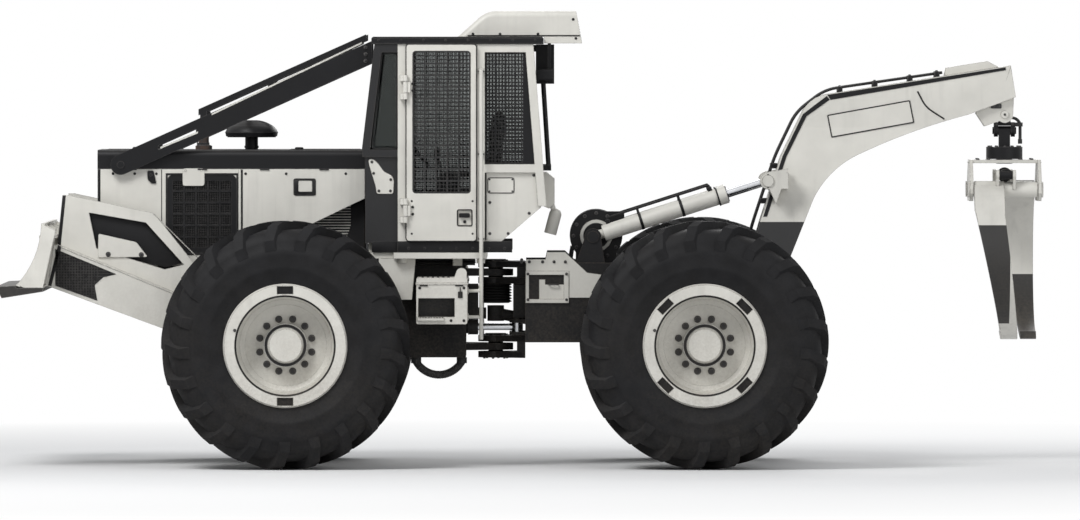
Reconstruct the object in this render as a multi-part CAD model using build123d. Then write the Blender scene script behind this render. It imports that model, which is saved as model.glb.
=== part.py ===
"""Articulated grapple skidder: a forestry tractor with a front blade, a screened cab over the
front frame, and a rear frame that carries a winch and a boom with a hanging log grapple.

Millimetres. +X points forward (towards the blade), +Y to the operator's left, +Z up. Everything is
laid out from the steering hinge at X = 0, Y = 0, and moved along X at the end so that the origin
is the middle of the machine's length and width, on the ground.
"""

import os
from math import atan2, cos, degrees, hypot, radians, sin, sqrt

from build123d import *

# ---------------------------------------------------------------- driving dimensions
WHEELBASE = 3070
TRACK = 2195  # tyre centre to tyre centre
TYRE_D = 1820
TYRE_W = 775
CAB_W = 1380  # across the outer faces of the posts
HOOD_W = 960
HOOD_L = 1975
BLADE_W = 2300
PIN_GAP = 0.4  # radial clearance of every pin in its bore
FACE_GAP = 2.0  # side clearance of an eye between its two lugs
SEAT_GAP = 0.3  # clearance of a piece that rests on another body

FRONT_AXLE_X = WHEELBASE / 2
REAR_AXLE_X = -WHEELBASE / 2
HUB_Z = TYRE_D / 2
WHEEL_Y = TRACK / 2

# frames
RAIL_Y = 402  # outer face of a front frame rail
RAIL_T = 32
FRAME_TOP_Z = 1480
FRAME_LOW_Z = 800
AXLE_TUBE_R = 125
AXLE_SEAT_Z = HUB_Z + 150  # underside of the frames above an axle
REAR_RAIL_Y = 430
HINGE_BULKHEAD_X = 220  # each frame ends this far from the steering hinge
HINGE_PIN_R = 55
HINGE_LUG_R = 130

# cab and hood levels
HOOD_REAR_X = 966
HOOD_TOP_Z = 2336
HOOD_BAND = 141  # depth of the folded top band
DECK_Z = 1581  # top of the platform that the cab stands on
FLOOR_Z = 1662
SILL_Z = 2232  # underside of the quarter windows
ROOF_Z = 3172
ROOF_T = 55
A_POST_X = 721  # front face of the post at the door hinges
B_POST_X = 138
POST = 70

# boom and grapple
BOOM_PIVOT = (-1883, 1137)
BOOM_ROD_PIN = (-2016, 2106)
BOOM_BASE_PIN = (-721, 1692)
GRAPPLE_X = -3778
SWING_PIN_Z = 2595
SIDE_PIN_Z = 2476
TONG_PIVOT_Y = 280
TONG_PIVOT_Z = 2040
TONG_TIP_Z = 930
TONG_HALF_W = 235
TONG_LEAN = 108  # how far back the tips stand
LEVER = 125
LEVER_TILT = 30
TONG_OPENS = 60  # degrees from closed to fully open

# blade
BLADE_PIVOT = (FRONT_AXLE_X + 356, HUB_Z + 34)
ARM_OUT_Y = 655
ARM_IN_Y = 530
BLADE_ROD_PIN = (FRONT_AXLE_X + 1318, 1388)
BLADE_BASE_PIN = (FRONT_AXLE_X + 615, 1400)
BLADE_TIP_X = 3667


# ---------------------------------------------------------------- small helpers
def block(x, y, z):
    """A box from its (low, high) spans along each axis."""
    (x0, x1), (y0, y1), (z0, z1) = sorted(x), sorted(y), sorted(z)
    middle = ((x0 + x1) / 2, (y0 + y1) / 2, (z0 + z1) / 2)
    return Pos(*middle) * Box(x1 - x0, y1 - y0, z1 - z0)


def cyl_x(x, y, z, r):
    x0, x1 = sorted(x)
    return Pos((x0 + x1) / 2, y, z) * Rot(0, 90, 0) * Cylinder(r, x1 - x0)


def cyl_y(x, y, z, r):
    y0, y1 = sorted(y)
    return Pos(x, (y0 + y1) / 2, z) * Rot(90, 0, 0) * Cylinder(r, y1 - y0)


def cyl_z(x, y, z, r):
    z0, z1 = sorted(z)
    return Pos(x, y, (z0 + z1) / 2) * Cylinder(r, z1 - z0)


def side_plate(points, y):
    """A side view outline of (x, z) points, as a plate between two y values.
    A point with four numbers (x, z, xm, zm) is reached by an arc through (xm, zm)."""
    y0, y1 = sorted(y)
    edges, last = [], points[0][:2]
    for point in list(points[1:]) + [points[0][:2]]:
        start, end = (last[0], y0, last[1]), (point[0], y0, point[1])
        if len(point) == 4:
            edges.append(ThreePointArc(start, (point[2], y0, point[3]), end))
        else:
            edges.append(Line(start, end))
        last = point[:2]
    return extrude(Face(Wire(edges)), amount=y1 - y0, dir=(0, 1, 0))


def end_plate(points, x):
    """A front view outline of (y, z) points, with arcs as in side_plate, between two x values."""
    x0, x1 = sorted(x)
    edges, last = [], points[0][:2]
    for point in list(points[1:]) + [points[0][:2]]:
        start, end = (x0, last[0], last[1]), (x0, point[0], point[1])
        if len(point) == 4:
            edges.append(ThreePointArc(start, (x0, point[2], point[3]), end))
        else:
            edges.append(Line(start, end))
        last = point[:2]
    return extrude(Face(Wire(edges)), amount=x1 - x0, dir=(1, 0, 0))


def flat_plate(points, z):
    """A plan view outline of (x, y) points, as a plate between two z values."""
    z0, z1 = sorted(z)
    face = Face(Wire.make_polygon([(x, y, z0) for x, y in points]))
    return extrude(face, amount=z1 - z0, dir=(0, 0, 1))


def ring_y(profile, x, z):
    """A closed outline of (y, radius) points, spun about an axis along Y through (x, z)."""
    edges, last = [], profile[0][:2]
    for point in list(profile[1:]) + [profile[0][:2]]:
        start, end = (0, last[0], last[1]), (0, point[0], point[1])
        if len(point) == 4:
            edges.append(ThreePointArc(start, (0, point[2], point[3]), end))
        else:
            edges.append(Line(start, end))
        last = point[:2]
    return Pos(x, 0, z) * revolve(Face(Wire(edges)), Axis.Y)


def ring_z(profile, x, y):
    """A closed outline of (radius, z) points, spun about a vertical axis through (x, y)."""
    edges, last = [], profile[0][:2]
    for point in list(profile[1:]) + [profile[0][:2]]:
        start, end = (last[0], 0, last[1]), (point[0], 0, point[1])
        if len(point) == 4:
            edges.append(ThreePointArc(start, (point[2], 0, point[3]), end))
        else:
            edges.append(Line(start, end))
        last = point[:2]
    return Pos(x, y, 0) * revolve(Face(Wire(edges)), Axis.Z)


def bar(start, end, r):
    """A round bar between two points."""
    a, b = Vector(*start), Vector(*end)
    plane = Plane(origin=a, z_dir=b - a)
    return extrude(plane * Circle(r), amount=(b - a).length)


def both_sides(shape):
    """A shape and its mirror image across the machine's centre plane, as one compound."""
    return Compound(children=[*shape.solids(), *mirror(shape, Plane.XZ).solids()])


def lattice(x, y, z, cell, wire):
    """A flat screen in a side window: a plate with square holes left between its wires."""
    across, up = max(x) - min(x), max(z) - min(z)
    columns, rows = round(across / cell), round(up / cell)
    pitch_x, pitch_z = (across - wire) / columns, (up - wire) / rows
    plate = block(x, y, z)
    depth = max(y) - min(y) + 2
    hole = Box(pitch_x - wire, depth, pitch_z - wire)
    spots = [
        Pos(
            min(x) + wire / 2 + pitch_x * (i + 0.5),
            (max(y) + min(y)) / 2,
            min(z) + wire / 2 + pitch_z * (j + 0.5),
        )
        for i in range(columns)
        for j in range(rows)
    ]
    return plate - [spot * hole for spot in spots]


def cylinder_axis(base, rod):
    """Length and angle above the X axis of the line from a base pin to a rod pin, both (x, z)."""
    dx, dz = rod[0] - base[0], rod[1] - base[1]
    return hypot(dx, dz), degrees(atan2(dz, dx))


# ---------------------------------------------------------------- hydraulic cylinders
def barrel(length, bore_r, eye_r, eye_w, pin_r):
    """A cylinder's barrel along +X from its base eye at the origin. The eye's axis is along Y."""
    eye = cyl_y(0, (-eye_w / 2, eye_w / 2), 0, eye_r)
    eye -= cyl_y(0, (-eye_w, eye_w), 0, pin_r + PIN_GAP)
    tube_start = eye_r + 24
    tube = cyl_x((tube_start, length), 0, 0, bore_r + 10)
    gland = cyl_x((length - 70, length), 0, 0, bore_r + 18)
    neck = cyl_x((pin_r + 6, tube_start + 5), 0, 0, bore_r * 0.7)
    body = eye + neck + tube + gland
    body -= cyl_y(0, (-eye_w, eye_w), 0, pin_r + PIN_GAP)
    bore_start = tube_start + 10
    return body - cyl_x((bore_start, length + 1), 0, 0, bore_r)


def rod(reach, inside, bore_r, eye_r, eye_w):
    """The rod of a cylinder along +X: a piston, the rod, and an eye centred at reach. Its pin
    is flush with the eye's faces. inside is where the piston starts."""
    piston = cyl_x((inside, inside + 60), 0, 0, bore_r - PIN_GAP)
    shaft = cyl_x((inside, reach - eye_r * 0.5), 0, 0, bore_r * 0.6)
    eye = cyl_y(reach, (-eye_w / 2, eye_w / 2), 0, eye_r)
    return piston + shaft + eye


def place(shape, base, angle, y):
    """Moves a cylinder piece that lies along X to its base pin, raised to its working angle."""
    return Pos(base[0], y, base[1]) * Rot(0, -angle, 0) * shape


def fork(pin, y, eye_w, plate_t, r, root, pin_r, through):
    """Two lug plates either side of an eye at pin (x, z), reaching to the root points, with
    bosses outside. through adds the pin that a base eye turns on."""
    half = eye_w / 2 + FACE_GAP
    solids = []
    for s in (-1, 1):
        inner, outer = y + s * half, y + s * (half + plate_t)
        plate = side_plate(root, (inner, outer)) + cyl_y(pin[0], (inner, outer), pin[1], r)
        boss = cyl_y(pin[0], (outer, outer + s * 12), pin[1], pin_r * 1.35)
        solids.append(plate + boss)
    pair = solids[0] + solids[1]
    if through:
        pair += cyl_y(pin[0], (y - half - plate_t, y + half + plate_t), pin[1], pin_r)
    return pair


# ---------------------------------------------------------------- wheels
BEAD_R = 410
FLANGE_R = 457
RECESS_R = 359
RIM_HALF = 345
HUB_R = 160
HUB_CAP_R = 133
SPINDLE_R = 90
SLOTS = {"front": 2, "rear": 4}  # lock slots in the outer ring of each axle's rims


def tyre():
    """A hollow tyre about the Y axis at the origin."""
    half, top = TYRE_W / 2, TYRE_D / 2
    bead, crown = RIM_HALF - SEAT_GAP, half - 75
    r0 = BEAD_R + SEAT_GAP
    mid = (r0 + top) / 2
    wall = 52
    return ring_y(
        [
            (bead, r0),
            (bead, r0 + 55),
            (half, mid + 20),
            (half, top - 130),
            (half - 25, top - 50),
            (crown, top),
            (-crown, top),
            (-half + 25, top - 50),
            (-half, top - 130),
            (-half, mid + 20),
            (-bead, r0 + 55),
            (-bead, r0),
            (-bead + wall, r0),
            (-bead + wall, r0 + 55),
            (-half + wall, mid + 20),
            (-half + wall + 10, top - 120),
            (-crown + 20, top - 70),
            (crown - 20, top - 70),
            (half - wall - 10, top - 120),
            (half - wall, mid + 20),
            (bead - wall, r0 + 55),
            (bead - wall, r0),
        ],
        0,
        0,
    )


def rim(slots):
    """A rim about the Y axis at the origin, its outer face towards +Y: barrel, flanges, slotted
    outer ring, recessed disc and the planetary hub."""
    face = RIM_HALF + 25
    disc = 140
    shell = ring_y(
        [
            (-RIM_HALF - 20, BEAD_R - 14),
            (-RIM_HALF - 20, FLANGE_R - 12),
            (-RIM_HALF, FLANGE_R - 12),
            (-RIM_HALF, BEAD_R),
            (RIM_HALF, BEAD_R),
            (RIM_HALF, FLANGE_R),
            (face, FLANGE_R - 12),
            (face, RECESS_R + 12),
            (face - 12, RECESS_R),
            (disc, RECESS_R - 22),
            (disc - 26, RECESS_R - 60),
            (disc - 26, HUB_R),
            (disc + 70, HUB_R),
            (disc + 70, HUB_CAP_R),
            (disc + 92, HUB_CAP_R - 14),
            (disc + 92, 0),
            (50, 0),
            (50, SPINDLE_R + PIN_GAP),
            (-70, SPINDLE_R + PIN_GAP),
            (-70, HUB_R + 20),
            (disc - 60, HUB_R + 20),
            (disc - 60, RECESS_R - 60),
            (disc - 26, RECESS_R - 6),
            (face - 34, RECESS_R + 14),
            (face - 34, BEAD_R - 14),
        ],
        0,
        0,
    )
    start = 90 if slots == 2 else 45
    slot_r = (RECESS_R + FLANGE_R) / 2
    for k in range(slots):
        turn = Rot(0, start + k * 360 / slots, 0)
        shell -= turn * Pos(slot_r, face - 8, 0) * Box(58, 24, 118)
    return shell


def wheels():
    pieces = {}
    for axle, x in (("front", FRONT_AXLE_X), ("rear", REAR_AXLE_X)):
        for side, s in (("left", 1), ("right", -1)):
            turn = Rot(0, 0, 0 if s > 0 else 180)
            spot = Pos(x, s * WHEEL_Y, HUB_Z) * turn
            pieces[f"{axle}_{side}_tyre"] = spot * tyre()
            pieces[f"{axle}_{side}_rim"] = spot * rim(SLOTS[axle])
    return pieces


def axle(x, nose, shaft_end):
    """An axle housing with its differential, spindles, frame saddles and driveshaft. nose is
    the side that the shaft enters, +1 for the front; shaft_end is the shaft's other (x, z)."""
    tube_end = WHEEL_Y - 80
    spindle_end = WHEEL_Y + 40
    half = [
        (0, 0),
        (0, 235),
        (110, 225),
        (195, 180),
        (270, AXLE_TUBE_R),
        (tube_end - 90, AXLE_TUBE_R),
        (tube_end - 60, AXLE_TUBE_R + 30),
        (tube_end, AXLE_TUBE_R + 30),
        (tube_end, SPINDLE_R),
        (spindle_end, SPINDLE_R),
        (spindle_end, 0),
    ]
    side = ring_y(half, x, HUB_Z)
    housing = side + mirror(side, Plane.XZ)
    flange_x = x + nose * 400
    housing += cyl_x((x, flange_x), 0, HUB_Z, 105)
    housing += cyl_x((flange_x - nose * 30, flange_x), 0, HUB_Z, 125)
    for s in (-1, 1):
        inner, outer = (RAIL_Y - 90) * s, (RAIL_Y + 5) * s
        housing += block((x - 150, x + 150), (inner, outer), (HUB_Z, AXLE_SEAT_Z))
    start = (flange_x - nose * 20, 0, HUB_Z)
    housing += bar(start, (shaft_end[0], 0, shaft_end[1]), SHAFT_R)
    return housing + cyl_y(flange_x + nose * 10, (-58, 58), HUB_Z, 62)


def rear_axle():
    """The rear axle's shaft ends in the yoke of the universal joint on the steering hinge."""
    yoke = cyl_z(0, 0, (SHAFT_Z - 58, SHAFT_Z + 58), UNIVERSAL_R)
    return axle(REAR_AXLE_X, 1, (0, SHAFT_Z)) + yoke


SHAFT_R = 42
SHAFT_Z = 1120
UNIVERSAL_R = 62
TRANSFER_X = (666, 900)  # the transfer case under the gearbox
TRANSFER_OUT_Z = 1060


# ---------------------------------------------------------------- front frame
NOSE_X = HOOD_REAR_X + HOOD_L - 14
NOSE_LOW_Z = 1250
TOW_Z = (1290, 1330)
TOW_HOLE_R = 22
FRONT_LUGS = ((850, 900), (1400, 1450))  # heights of the two steering hinge lugs


def hinge_plate(direction, z, pin_hole):
    """A hinge lug: a tapered plate from a bulkhead to a round end on the hinge."""
    x = HINGE_BULKHEAD_X * direction
    plate = flat_plate([(x, -250), (0, -HINGE_LUG_R), (0, HINGE_LUG_R), (x, 250)], z)
    plate += cyl_z(0, 0, z, HINGE_LUG_R)
    if pin_hole:
        plate -= cyl_z(0, 0, (z[0] - 1, z[1] + 1), HINGE_PIN_R + PIN_GAP)
    return plate


def front_chassis():
    ax = FRONT_AXLE_X
    rail = [
        (NOSE_X, FRAME_TOP_Z),
        (NOSE_X, NOSE_LOW_Z),
        (NOSE_X - 450, 1070),
        (ax + 420, 1070),
        (ax + 300, AXLE_SEAT_Z),
        (ax - 300, AXLE_SEAT_Z),
        (ax - 480, FRAME_LOW_Z),
        (HINGE_BULKHEAD_X, FRAME_LOW_Z),
        (HINGE_BULKHEAD_X, FRAME_TOP_Z),
    ]
    inner = RAIL_Y - RAIL_T
    body = side_plate(rail, (inner, RAIL_Y)) + side_plate(rail, (-RAIL_Y, -inner))
    inside = (-inner, inner)
    bulkhead = (HINGE_BULKHEAD_X, HINGE_BULKHEAD_X + 40)
    body += block(bulkhead, inside, (FRAME_LOW_Z, FRAME_TOP_Z))
    for s in (-1, 1):
        window = block(
            (bulkhead[0] - 1, bulkhead[1] + 1), (s * 78, s * inner), (STEER_Z - 78, STEER_Z + 78)
        )
        body -= window
    body -= cyl_x((bulkhead[0] - 1, bulkhead[1] + 1), 0, SHAFT_Z, SHAFT_R + 33)
    body += block((HINGE_BULKHEAD_X, ax - 480), inside, (FRAME_LOW_Z, FRAME_LOW_Z + 15))
    body += block((HINGE_BULKHEAD_X, ax - 600), inside, (FRAME_TOP_Z - 15, FRAME_TOP_Z))
    body += block((NOSE_X - 30, NOSE_X), inside, (NOSE_LOW_Z, FRAME_TOP_Z))
    body += block((ax + 420, NOSE_X - 450), inside, (1070, 1085))
    # tow tongue at the nose, with an upright pin hole
    tongue = block((NOSE_X - 20, NOSE_X + 30), (-70, 70), TOW_Z)
    tongue += cyl_z(NOSE_X + 30, 0, TOW_Z, 70)
    tongue -= cyl_z(NOSE_X + 32, 0, (TOW_Z[0] - 1, TOW_Z[1] + 1), TOW_HOLE_R)
    body += tongue
    # cross tubes tie the rails above the axle and carry the blade pivots
    for x in (ax + 230, ax - 180):
        body += cyl_y(x, inside, 1335, 58)
    for s in (-1, 1):
        body += cyl_y(BLADE_PIVOT[0], (s * inner, s * ARM_OUT_Y), BLADE_PIVOT[1], 45)
        body += cyl_y(BLADE_PIVOT[0], (s * inner, s * (ARM_IN_Y - 6)), BLADE_PIVOT[1], 100)
        root = [
            (BLADE_PIVOT[0] - 100, BLADE_PIVOT[1]),
            (BLADE_PIVOT[0] + 100, BLADE_PIVOT[1]),
            (BLADE_PIVOT[0] + 150, 1100),
            (BLADE_PIVOT[0] - 40, 1100),
        ]
        body += side_plate(root, (s * inner, s * RAIL_Y))
    for z in FRONT_LUGS:
        body += hinge_plate(1, z, True)
    # outer pads that carry the cab deck
    for s in (-1, 1):
        for x in (HINGE_BULKHEAD_X + 30, HOOD_REAR_X - 60):
            body += block((x, x + 60), (s * (RAIL_Y - 5), s * (RAIL_Y + 118)), (FRAME_TOP_Z - 16, FRAME_TOP_Z))
    for s in (-1, 1):
        body += blade_base_fork(s)
        body += hinge_web(1, s)
    return body


def heat_shields():
    """Upright plates beside the gearbox, against the inner faces of the rails."""
    inner = RAIL_Y - RAIL_T
    x = (HOOD_REAR_X + 4, HOOD_REAR_X + 374)
    z = (FRAME_TOP_Z - 28, 1985)
    return Compound(children=[block(x, (s * (inner - 18), s * inner), z) for s in (-1, 1)])


def hinge_web(direction, s):
    """An upright web on a bulkhead, between the two levels of the steering hinge."""
    x = (direction * (HINGE_BULKHEAD_X - 90), direction * (HINGE_BULKHEAD_X + 5))
    return block(x, (s * 195, s * 220), (STEER_Z + 70, 1335))


def blade_base_fork(s):
    """Lugs on the outer face of a rail for the base of a blade cylinder."""
    x, z = BLADE_BASE_PIN
    y = s * BLADE_CYL_Y
    half = BLADE_EYE_W / 2 + FACE_GAP
    inner, outer = y - s * half, y + s * half
    lug = cyl_y(x, (s * RAIL_Y, inner), z, 48)
    lug += cyl_y(x, (s * (RAIL_Y - 5), outer), z, BLADE_PIN_R)
    return lug + cyl_y(x, (outer, outer + s * 10), z, 42)


BLADE_CYL_Y = 466
BLADE_EYE_W = 70
BLADE_PIN_R = 26


def powertrain():
    """Engine, gearbox and transfer case as plain blocks, the shaft to the hinge, the radiator."""
    y = RAIL_Y - RAIL_T - 60
    unit = block((HOOD_REAR_X + 250, HOOD_REAR_X + 1450), (-y, y), (1400, 2150))
    unit += block((TRANSFER_X[0], HOOD_REAR_X + 260), (-y + 60, y - 60), (1240, 1460))
    unit += block(TRANSFER_X, (-150, 150), (1000, 1250))
    unit += cyl_x((UNIVERSAL_R + 8, TRANSFER_X[0] + 5), 0, SHAFT_Z, SHAFT_R)
    unit += cyl_x((TRANSFER_X[0] - 40, TRANSFER_X[0]), 0, SHAFT_Z, 95)
    unit += cyl_x((TRANSFER_X[1] - 5, TRANSFER_X[1] + 15), 0, TRANSFER_OUT_Z, 68)
    y = RAIL_Y - RAIL_T - SEAT_GAP
    for x in (HOOD_REAR_X + 380, HOOD_REAR_X + 1280):
        unit += block((x, x + 90), (-y, y), (1400, 1450))
    y = RAIL_Y - RAIL_T - 20
    core = block((HOOD_FRONT_X - 190, HOOD_FRONT_X - 60), (-y, y), (FRAME_TOP_Z, BAND_Z - 60))
    unit += block((HOOD_REAR_X + 1440, HOOD_FRONT_X - 180), (-90, 90), (1560, 1640))
    return unit + core


# ---------------------------------------------------------------- hood
HOOD_SKIN = 8
SCREEN_X = (HOOD_REAR_X + 947, HOOD_REAR_X + 1458)
SCREEN_Z = (1573, 2151)
BAND_Z = HOOD_TOP_Z - HOOD_BAND
HOOD_FRONT_X = HOOD_REAR_X + HOOD_L


def hood_top():
    half, t, r = HOOD_W / 2, HOOD_SKIN, 45
    k = r * (1 - sqrt(0.5))
    top = HOOD_TOP_Z
    outer = [
        (-half, BAND_Z),
        (-half, top - r),
        (-half + r, top, -half + k, top - k),
        (half - r, top),
        (half, top - r, half - k, top - k),
        (half, BAND_Z),
        (half - t, BAND_Z),
        (half - t, top - r),
        (half - r, top - t, half - k - t * 0.7, top - k - t * 0.7),
        (-half + r, top - t),
        (-half + t, top - r, -half + k + t * 0.7, top - k - t * 0.7),
        (-half + t, BAND_Z),
    ]
    cover = end_plate(outer, (HOOD_REAR_X, HOOD_FRONT_X))
    nose = block(
        (HOOD_FRONT_X - t, HOOD_FRONT_X), (-half + t, half - t), (BAND_Z, top - r)
    )
    nose += block(
        (HOOD_FRONT_X - t, HOOD_FRONT_X), (-half + r, half - r), (top - r, top - t)
    )
    return cover + nose


def hood_sides():
    half, t = HOOD_W / 2, HOOD_SKIN
    panel = block((HOOD_REAR_X, HOOD_FRONT_X), (half - t, half), (FRAME_TOP_Z + 5, BAND_Z))
    opening = block(SCREEN_X, (half - t - 1, half + 1), SCREEN_Z)
    opening = fillet(opening.edges().filter_by(Axis.Y), 40)
    panel -= opening
    cut = [
        (HOOD_REAR_X - 1, 1978),
        (HOOD_REAR_X + 358, 1805),
        (HOOD_REAR_X + 458, 1757),
        (HOOD_REAR_X + 458, FRAME_TOP_Z + 13),
        (HOOD_REAR_X - 1, FRAME_TOP_Z + 13),
    ]
    panel -= side_plate(cut, (half - t - 1, half + 1))
    # stiffening post beside the screen door, and the folded front edge
    panel += block((SCREEN_X[0] - 32, SCREEN_X[0] - 14), (half, half + 6), (1490, BAND_Z))
    panel += block(
        (HOOD_FRONT_X - t, HOOD_FRONT_X), (half - 60, half), (FRAME_TOP_Z + 5, BAND_Z)
    )
    # rails along the frame carry the panels
    panel += block(
        (HOOD_REAR_X, HOOD_FRONT_X), (RAIL_Y - 20, half), (FRAME_TOP_Z, FRAME_TOP_Z + 12)
    )
    return both_sides(panel)


def engine_side_screens():
    half = HOOD_W / 2
    x = (SCREEN_X[0] + SEAT_GAP, SCREEN_X[1] - SEAT_GAP)
    z = (SCREEN_Z[0] + SEAT_GAP, SCREEN_Z[1] - SEAT_GAP)
    y = (half - HOOD_SKIN, half)
    frame = block(x, y, z)
    frame = fillet(frame.edges().filter_by(Axis.Y), 40 - SEAT_GAP)
    inset = 30
    inner_x, inner_z = (x[0] + inset, x[1] - inset), (z[0] + inset, z[1] - inset)
    frame -= block(inner_x, (y[0] - 1, y[1] + 1), inner_z)
    return both_sides(frame + lattice(inner_x, y, inner_z, 86, 12))


def front_grille():
    half = HOOD_W / 2
    y = half - 60 - SEAT_GAP
    z = (FRAME_TOP_Z + 14, BAND_Z - SEAT_GAP)
    x = (HOOD_FRONT_X - 26, HOOD_FRONT_X - 2)
    frame = block(x, (-y, y), z) - block(
        (x[0] - 1, x[1] + 1), (-y + 40, y - 40), (z[0] + 40, z[1] - 40)
    )
    count = 9
    for k in range(1, count):
        yk = -y + 40 + (2 * y - 80) * k / count
        frame += block((x[0] + 4, x[1] - 4), (yk - 9, yk + 9), (z[0] + 20, z[1] - 20))
    zm = (z[0] + z[1]) / 2
    return frame + block((x[0], x[0] + 8), (-y + 20, y - 20), (zm - 15, zm + 15))


EXHAUST_X = HOOD_REAR_X + 1199
PRECLEANER_X = HOOD_REAR_X + 851


def exhaust_stack():
    x, y = EXHAUST_X, 120
    top = HOOD_TOP_Z + 232
    stack = cyl_z(x, y, (HOOD_TOP_Z, top), 38) - cyl_z(x, y, (HOOD_TOP_Z + 30, top + 9), 33)
    slant = Pos(x, y, top + 30) * Rot(0, 40, 0) * Box(300, 200, 100)
    collar = cyl_z(x, y, (HOOD_TOP_Z, HOOD_TOP_Z + 28), 62)
    return (stack + collar) - slant


def air_precleaner():
    z = HOOD_TOP_Z
    outline = [
        (0, z),
        (48, z),
        (48, z + 96),
        (190, z + 96),
        (196, z + 122),
        (150, z + 180, 180, z + 156),
        (40, z + 216, 98, z + 205),
        (0, z + 216),
    ]
    return ring_z(outline, PRECLEANER_X, -150)


# the two sloping bars that lift branches over the hood to the roof
RISER_IN_Y = HOOD_W / 2 + 8
RISER_OUT_Y = RISER_IN_Y + 50
RISER_LOW = (HOOD_FRONT_X - 173, BAND_Z + 32)  # the pin on the hood's side
RISER_HIGH_Z = ROOF_Z - 114
RISER_DEPTH = 150
ROOF_FRONT_X = 914


def limb_risers():
    """Two box bars, pinned to the sides of the hood and bolted to the roof's front edge."""
    end = (ROOF_FRONT_X + SEAT_GAP, RISER_HIGH_Z)
    length, angle = cylinder_axis(RISER_LOW, end)
    up_x, up_z = sin(radians(180 - angle)), cos(radians(180 - angle))
    half = RISER_DEPTH / 2
    low_a = (RISER_LOW[0] + up_x * half, RISER_LOW[1] + up_z * half)
    low_b = (RISER_LOW[0] - up_x * half, RISER_LOW[1] - up_z * half)
    rise = half / up_z
    beam = [low_a, (end[0], end[1] + rise), (end[0], end[1] - rise), low_b]
    window_at, window_end = 0.15, 0.30
    window = []
    for share, side in ((window_at, -1), (window_at, 1), (window_end, 1), (window_end, -1)):
        x = RISER_LOW[0] + (end[0] - RISER_LOW[0]) * share
        z = RISER_LOW[1] + (end[1] - RISER_LOW[1]) * share
        window.append((x, z + side * 16))
    y = (RISER_IN_Y, RISER_OUT_Y)
    riser = side_plate(beam, y) - side_plate(window, (y[0] - 1, y[1] + 1))
    riser += cyl_y(RISER_LOW[0], y, RISER_LOW[1], half)
    # the branch rail stands off the upper two thirds of the bar
    start = 0.31
    x1 = RISER_LOW[0] + (end[0] - RISER_LOW[0]) * start
    z1 = RISER_LOW[1] + (end[1] - RISER_LOW[1]) * start
    offset = rise + 24
    rail = [
        (x1, z1 + offset),
        (end[0] + 40, end[1] + offset - 20),
        (end[0] + 40, end[1] + offset + 26),
        (x1, z1 + offset + 46),
    ]
    middle = (y[0] + 6, y[1] - 6)
    riser += side_plate(rail, middle)
    for share in (0.33, 0.6, 0.9):
        x = RISER_LOW[0] + (end[0] - RISER_LOW[0]) * share
        z = RISER_LOW[1] + (end[1] - RISER_LOW[1]) * share
        riser += block((x - 25, x + 25), middle, (z + rise - 25, z + offset + 8))
    pin = cyl_y(RISER_LOW[0], (HOOD_W / 2 + SEAT_GAP, y[0] + 5), RISER_LOW[1], 40)
    riser += pin + cyl_y(RISER_LOW[0], (y[1] - 5, y[1] + 12), RISER_LOW[1], 26)
    pair = both_sides(riser)
    bars = pair.solids()[0] + pair.solids()[1]
    for share in (0.5, 0.78):
        x = RISER_LOW[0] + (end[0] - RISER_LOW[0]) * share
        z = RISER_LOW[1] + (end[1] - RISER_LOW[1]) * share
        bars += cyl_y(x, (-y[0] - 5, y[0] + 5), z, 24)
    return bars


# ---------------------------------------------------------------- cab
HALF_CAB = CAB_W / 2
BEAM_Z = (ROOF_Z - ROOF_T - 60, ROOF_Z - ROOF_T)
WIND_TOP_X, WIND_LOW_X = 899, 985
REAR_TOP_X, REAR_LOW_X = -285, -351  # rear edge of the rear post at the roof and the sill


def rear_edge(z):
    """X of the rear post's rear face at height z."""
    share = (z - SILL_Z) / (BEAM_Z[0] - SILL_Z)
    return REAR_LOW_X + (REAR_TOP_X - REAR_LOW_X) * share


def front_edge(z):
    """X of the windshield post's front face at height z."""
    share = (z - HOOD_TOP_Z) / (BEAM_Z[0] - HOOD_TOP_Z)
    return WIND_LOW_X + (WIND_TOP_X - WIND_LOW_X) * share


def cab_frame():
    y = (HALF_CAB - POST, HALF_CAB)
    low, high = DECK_Z, BEAM_Z[1]
    side = block((A_POST_X - POST, A_POST_X), y, (low, high))
    side += block((B_POST_X - 60, B_POST_X), y, (low, high))
    side += side_plate(
        [
            (rear_edge(FLOOR_Z + 260), FLOOR_Z + 260),
            (rear_edge(high), high),
            (rear_edge(high) + 62, high),
            (rear_edge(FLOOR_Z + 260) + 62, FLOOR_Z + 260),
        ],
        y,
    )
    side += side_plate(
        [
            (front_edge(HOOD_TOP_Z), HOOD_TOP_Z + 2),
            (front_edge(high), high),
            (front_edge(high) - 60, high),
            (front_edge(HOOD_TOP_Z) - 60, HOOD_TOP_Z + 2),
        ],
        y,
    )
    side += block((rear_edge(high), front_edge(high)), y, BEAM_Z)
    side += block((rear_edge(SILL_Z) + 5, B_POST_X), y, (SILL_Z - 62, SILL_Z))
    side += block(
        (A_POST_X - 5, front_edge(HOOD_TOP_Z) - 5), y, (HOOD_TOP_Z - 50, HOOD_TOP_Z + 4)
    )
    frame = side + mirror(side, Plane.XZ)
    across = (-y[0] - 5, y[0] + 5)
    frame += block((front_edge(high) - 60, front_edge(high)), across, BEAM_Z)
    frame += block((rear_edge(high), rear_edge(high) + 60), across, BEAM_Z)
    frame += block((rear_edge(SILL_Z) + 8, rear_edge(SILL_Z) + 60), across, (SILL_Z - 60, SILL_Z))
    frame += block(
        (WIND_LOW_X - 60, WIND_LOW_X - 6), across, (HOOD_TOP_Z + 6, HOOD_TOP_Z + 60)
    )
    for s in (-1, 1):
        frame += door_hinges(s, on_door=False)
    return frame


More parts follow.
